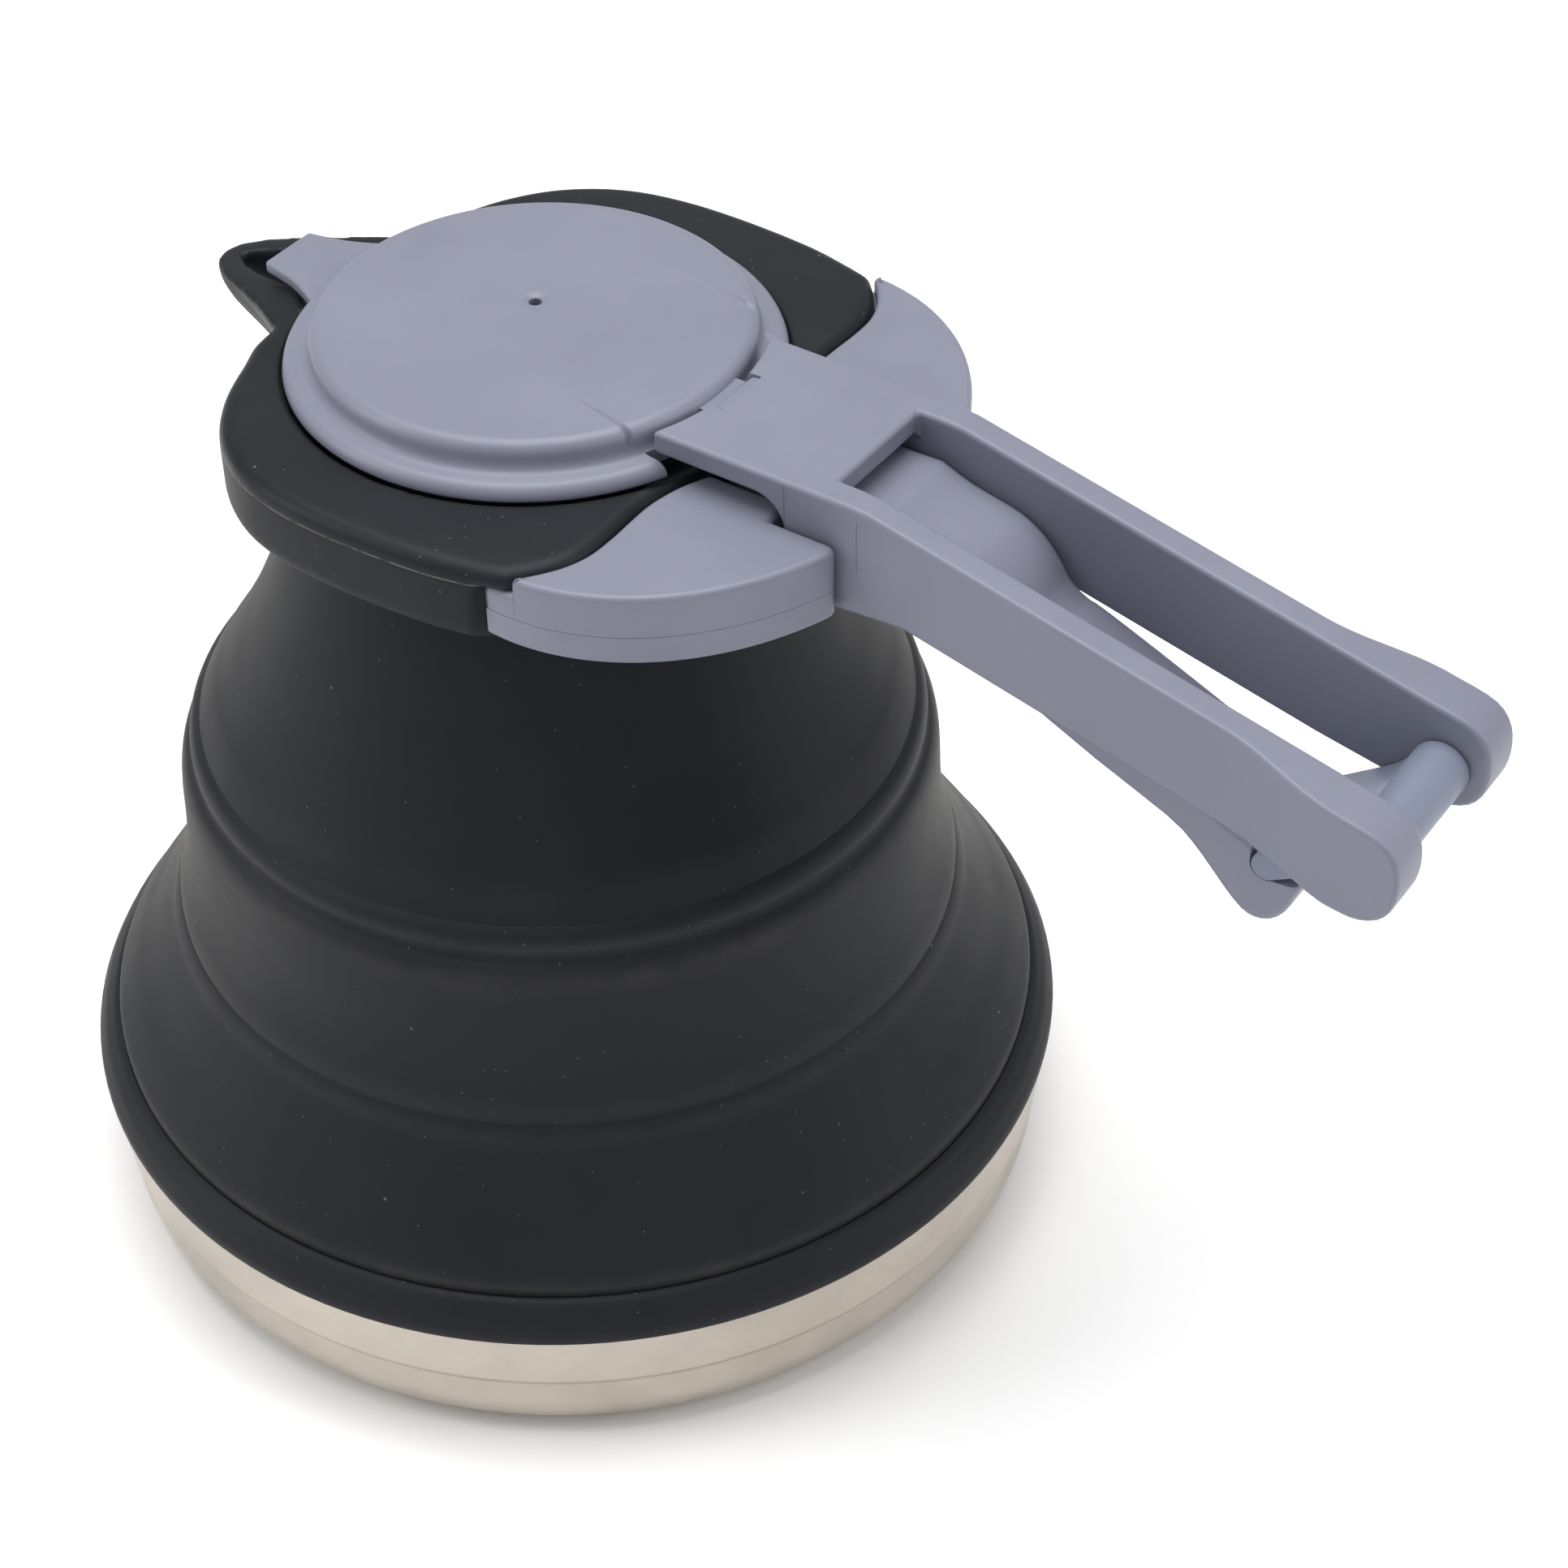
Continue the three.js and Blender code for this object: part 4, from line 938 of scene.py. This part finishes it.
def lower_handle_piece(sizes):
    half = sizes.lever_half / MM
    x, z = CROSS_BAR
    side = [*arc(*PIVOT, 7.8, 280, 80, 30), *smooth(LEVER_TOP, 3), (127.6, 126.9),
            *smooth(LEVER_LOW, 2)]
    lever = across("lower_handle_moulding", side, -half, half)
    ease_edges(lever, sizes.lever_rounding / MM, 4, 60)
    notch = [(x - 2.4, z), (x, z), (x + 1.3, z - 2.1), (x + 12, z - 0.9), (x + 12, z + 24),
             (x - 2.4, z + 24)]
    combine(
        lever, "DIFFERENCE",
        rod("notch", x, z, 2.4, -20, 20, 40),
        across("notch_mouth", notch, -20, 20),
        rod("pivot_hole", *PIVOT, PIVOT_BORE, -20, 20, 40))
    put_on(lever, "lower_handle_body", "plastic", "lower_handle", angle=45, flat=True)


def link_pieces():
    (x, z), (far_x, far_z) = LINK_PIVOT, CROSS_BAR
    turn = math.degrees(math.atan2(z - far_z, x - far_x))
    length = math.hypot(x - far_x, z - far_z)
    spread = math.degrees(math.acos((LINK_BARREL - CROSS_BAR_RADIUS) / length))
    # The web thins behind the barrel on its upper side
    ahead = Vector((far_x - x, far_z - z)).normalized()
    aside = Vector((ahead.y, -ahead.x))
    neck = [tuple(Vector((x, z)) + along * ahead + off * aside)
            for along, off in ((4.2, 2.6), (6.2, 2.15), (9, 2.1))]
    side = [*arc(x, z, LINK_BARREL, turn - 180 + spread, turn + 132, 44), *neck,
            *arc(far_x, far_z, CROSS_BAR_RADIUS, turn + 180 - spread, turn + 180 + spread, 18)]
    link = across("link_moulding", side, -9.7, 9.7)
    ease_edges(link, 0.4, 2, 45)
    combine(
        link, "DIFFERENCE", rod("spring_room", x, z, 3.2, -20, -5.4, 40),
        rod("link_pin_room", x, z, LINK_BORE, -20, 20, 32))
    put_on(link, "link_body", "link", "link", flat=True)


# The lid's disc and ring: radius of each, rounding and height of the ring
DISC_RADIUS, RING_RADIUS, RING_ROUNDING, RING_TOP = 33.6, 37.8, 2.1, 157.4
# The ring stops at the plate's nose, which it would meet as the lid swings open: this far from
# the middle, outside this radius and up to this height
TRIM_HALF, TRIM_RADIUS, TRIM_TOP = 14.9, 34.3, 158


def lid_pieces(sizes):
    top, edge = sizes.lid_top / MM, sizes.lid_edge / MM
    profile = [
        (0, top), (20, top), (DISC_RADIUS - edge, top),
        *arc(DISC_RADIUS - edge, top - edge, edge, 85, 0, 6),
        (33.7, 158.9), (33.85, 158.35), (34.15, 157.9), (34.6, 157.6), (35.2, 157.45),
        *arc(RING_RADIUS - RING_ROUNDING, RING_TOP - RING_ROUNDING, RING_ROUNDING, 80, 0, 10),
        (37.75, 155.1), (37.55, 154.9), (37.2, 154.65), (36.1, 154.6), (35.8, 154.8), (35.8, 155.3),
        (31.6, 155.3), (31.6, top - 2.2), (0, top - 2.2),
    ]
    lid = turned("lid_moulding", profile)
    trim = block("trim", (0, -TRIM_HALF, 150), (42, TRIM_HALF, TRIM_TOP))
    core = [(0, 140), (TRIM_RADIUS, 140), (TRIM_RADIUS, 170), (0, 170)]
    combine(trim, "DIFFERENCE", turned("trim_core", core))
    combine(lid, "DIFFERENCE", trim)
    line = smooth([(-36, 9.5), (-39.1, 7.87), (-42.9, 6.4), (-48.5, 5.2)], 5)
    plan = [(-34.3, 9.5), *line]
    tongue = raised("tongue", [*plan, *mirror_line(plan)], 155.3, 157.3)
    ease_edges(tongue, 0.5, 3, 50)
    lug = [(32.95, 157.2), *arc(*HINGE, 1.7, -90, 150, 20), (35, 160.4), (32.95, 160.4)]
    combine(lid, "UNION", tongue, across("lug", lug, -4.6, 4.6))
    combine(
        lid, "DIFFERENCE",
        turned("vent", [(0, 150), (1, 150), (1, top - 0.5), (1.5, top - 0.15), (2.6, top + 0.02),
                        (2.6, 170), (0, 170)], 40, (-2.6, 3.7)),
        rod("pin_hole", *HINGE, LID_BORE, -10, 10, 24))
    put_on(lid, "lid", "lid", "lid_cover", flat=True)
    liner = turned("lid_liner_moulding", [
        (0, 150.4), (26, 150.4), (26.5, 150.6), (26.8, 151.2), (26.8, 152.2), (26, 152.2),
        (26, 154.6), (26.8, 154.6), (26.8, 157), (31.3, 157), (31.3, 158.6), (24.8, 158.6),
        (24.8, 152.4), (0, 152.4)])
    put_on(liner, "lid", "plastic", "lid_liner")
    seal = turned("lid_seal_ring", [
        (26.3, 152.5), (27.7, 152.5), (28.05, 152.75), (28.2, 153.4), (28.05, 154.05),
        (27.7, 154.3), (26.3, 154.3)])
    put_on(seal, "lid", "silicone", "lid_seal", angle=50)


def hardware():
    for node in frame["nodes"]:
        if node.startswith("wing_screw") or node.endswith("_pin"):
            dress(node, "bright")
    dress("link_spring", "spring")


# The photograph's camera: place in millimetres, degrees, and focal length in widths of the frame
CAMERA_PLACE = (273.1, -332.2, 437.9)
CAMERA_AZIMUTH = 34.6
CAMERA_DIP = 40.67
CAMERA_ROLL = -0.73
CAMERA_FOCAL = 4200 / 1932


def stage_camera():
    alone()
    bpy.ops.object.camera_add()
    camera = bpy.context.object
    camera.name = "photo_camera"
    a, p, r = (math.radians(v) for v in (CAMERA_AZIMUTH, CAMERA_DIP, CAMERA_ROLL))
    turn = Matrix.Rotation(a, 3, "Z")
    right = turn @ Vector((1, 0, 0))
    forward = turn @ Vector((0, math.cos(p), -math.sin(p)))
    up = turn @ Vector((0, math.sin(p), math.cos(p)))
    x = math.cos(r) * right + math.sin(r) * up
    y = math.cos(r) * up - math.sin(r) * right
    camera.matrix_world = Matrix((
        (x.x, y.x, -forward.x, CAMERA_PLACE[0] * MM),
        (x.y, y.y, -forward.y, CAMERA_PLACE[1] * MM),
        (x.z, y.z, -forward.z, CAMERA_PLACE[2] * MM),
        (0, 0, 0, 1)))
    camera.data.sensor_width = 36
    camera.data.lens = 36 * CAMERA_FOCAL
    camera.data.clip_start, camera.data.clip_end = 0.01, 20
    bpy.context.scene.camera = camera


def soft_light(name, place, size, power, tint=(1, 1, 1)):
    alone()
    bpy.ops.object.light_add(type="AREA", location=place)
    lamp = bpy.context.object
    lamp.name = name
    lamp.data.shape = "RECTANGLE"
    lamp.data.size, lamp.data.size_y = size
    lamp.data.energy = power
    lamp.data.color = tint
    lamp.rotation_euler = (Vector((0, 0, 0.09)) - Vector(place)).to_track_quat("-Z", "Y").to_euler()


def stage_floor(colours):
    alone()
    bpy.ops.mesh.primitive_plane_add(size=8)
    floor = bpy.context.object
    floor.name = "studio_floor"
    material, tree, place = start_material("studio_paper")
    # Matt studio paper with a faint mottle
    mottle = clouds(tree, place, 1000 / 6, 3, 0.5)
    tone = ramp(tree, mottle, (0.3, [c * 0.985 for c in colours.floor]), (0.7, colours.floor))
    close_material(tree, {"Base Color": tone, "Roughness": 0.9, "Specular IOR Level": 0.1})
    floor.data.materials.append(material)


def stage_world():
    world = bpy.data.worlds.new("studio")
    world.use_nodes = True
    sky = world.node_tree.nodes["Background"].inputs
    sky["Color"].default_value = (1, 1, 1, 1)
    sky["Strength"].default_value = 0.47
    bpy.context.scene.world = world
    bpy.context.scene.view_settings.view_transform = "Standard"


# Operators

class KETTLE_OT_stage(bpy.types.Operator):
    """Makes the camera, the pale floor, the soft lights and the materials"""
    bl_idname = "kettle.stage"
    bl_label = "Stage and materials"

    def execute(self, context):
        stage_camera()
        stage_world()
        stage_floor(context.scene.kettle_colours)
        soft_light("top_light", (-0.15, 0.1, 1.6), (1.3, 1.3), 24)
        soft_light("left_light", (-0.95, -0.85, 0.8), (0.4, 1.1), 6)
        soft_light("right_light", (1.3, 0.5, 0.8), (0.5, 1.2), 6)
        make_materials(context.scene.kettle_colours)
        return {"FINISHED"}


class KETTLE_OT_pan(bpy.types.Operator):
    """Turns the steel pan"""
    bl_idname = "kettle.pan"
    bl_label = "Steel pan"

    def execute(self, context):
        steel_pan(context.scene.kettle_body)
        return {"FINISHED"}


class KETTLE_OT_walls(bpy.types.Operator):
    """Turns the silicone lip, the two folds and the band between them"""
    bl_idname = "kettle.walls"
    bl_label = "Silicone walls"

    def execute(self, context):
        silicone_walls(context.scene.kettle_body)
        return {"FINISHED"}


class KETTLE_OT_collar(bpy.types.Operator):
    """Builds the silicone collar with its spout"""
    bl_idname = "kettle.collar"
    bl_label = "Silicone collar and spout"

    def execute(self, context):
        silicone_collar(context.scene.kettle_top)
        return {"FINISHED"}


class KETTLE_OT_wings(bpy.types.Operator):
    """Builds the mouth ring, the yoke and the two wing covers"""
    bl_idname = "kettle.wings"
    bl_label = "Yoke and wings"

    def execute(self, context):
        mouth_parts()
        wings(context.scene.kettle_top)
        return {"FINISHED"}


class KETTLE_OT_frame(bpy.types.Operator):
    """Builds the handle's plate with its two arms"""
    bl_idname = "kettle.frame"
    bl_label = "Handle frame"

    def execute(self, context):
        handle_frame_piece(context.scene.kettle_handle)
        return {"FINISHED"}


class KETTLE_OT_lower_handle(bpy.types.Operator):
    """Builds the lower handle with its hook"""
    bl_idname = "kettle.lower_handle"
    bl_label = "Lower handle"

    def execute(self, context):
        lower_handle_piece(context.scene.kettle_handle)
        return {"FINISHED"}


class KETTLE_OT_link(bpy.types.Operator):
    """Builds the link between the arm tips and the hook"""
    bl_idname = "kettle.link"
    bl_label = "Link"

    def execute(self, context):
        link_pieces()
        return {"FINISHED"}


class KETTLE_OT_lid(bpy.types.Operator):
    """Turns the lid, its liner and its seal, and adds the tongue and the hinge lug"""
    bl_idname = "kettle.lid"
    bl_label = "Lid"

    def execute(self, context):
        lid_pieces(context.scene.kettle_top)
        return {"FINISHED"}


class KETTLE_OT_hardware(bpy.types.Operator):
    """Gives the pins, screws and spring of the frame their plated steel"""
    bl_idname = "kettle.hardware"
    bl_label = "Pins, screws and spring"

    def execute(self, context):
        hardware()
        return {"FINISHED"}


OPERATORS = [KETTLE_OT_stage, KETTLE_OT_pan, KETTLE_OT_walls, KETTLE_OT_collar, KETTLE_OT_wings,
             KETTLE_OT_frame, KETTLE_OT_lower_handle, KETTLE_OT_link, KETTLE_OT_lid,
             KETTLE_OT_hardware]
GROUPS = {"kettle_body": KettleBodySizes, "kettle_top": KettleTopSizes,
          "kettle_handle": KettleHandleSizes, "kettle_colours": KettleColours}


class KETTLE_PT_pieces(bpy.types.Panel):
    """Lists the kettle's sizes, colours and pieces"""
    bl_idname = "KETTLE_PT_pieces"
    bl_label = "Collapsible Kettle"
    bl_space_type = "VIEW_3D"
    bl_region_type = "UI"
    bl_category = "Kettle"

    def draw(self, context):
        for name, group in GROUPS.items():
            box = self.layout.box()
            for field in group.__annotations__:
                box.prop(getattr(context.scene, name), field)
        for operator in OPERATORS:
            self.layout.operator(operator.bl_idname)


def register():
    for group in GROUPS.values():
        bpy.utils.register_class(group)
    for operator in [*OPERATORS, KETTLE_PT_pieces]:
        bpy.utils.register_class(operator)
    for name, group in GROUPS.items():
        setattr(bpy.types.Scene, name, bpy.props.PointerProperty(type=group))


def unregister():
    for name in GROUPS:
        delattr(bpy.types.Scene, name)
    for group in [*GROUPS.values(), *OPERATORS, KETTLE_PT_pieces]:
        bpy.utils.unregister_class(group)


def main():
    register()
    for operator in OPERATORS:
        group, name = operator.bl_idname.split(".")
        getattr(getattr(bpy.ops, group), name)()


if __name__ == "__main__":
    main()
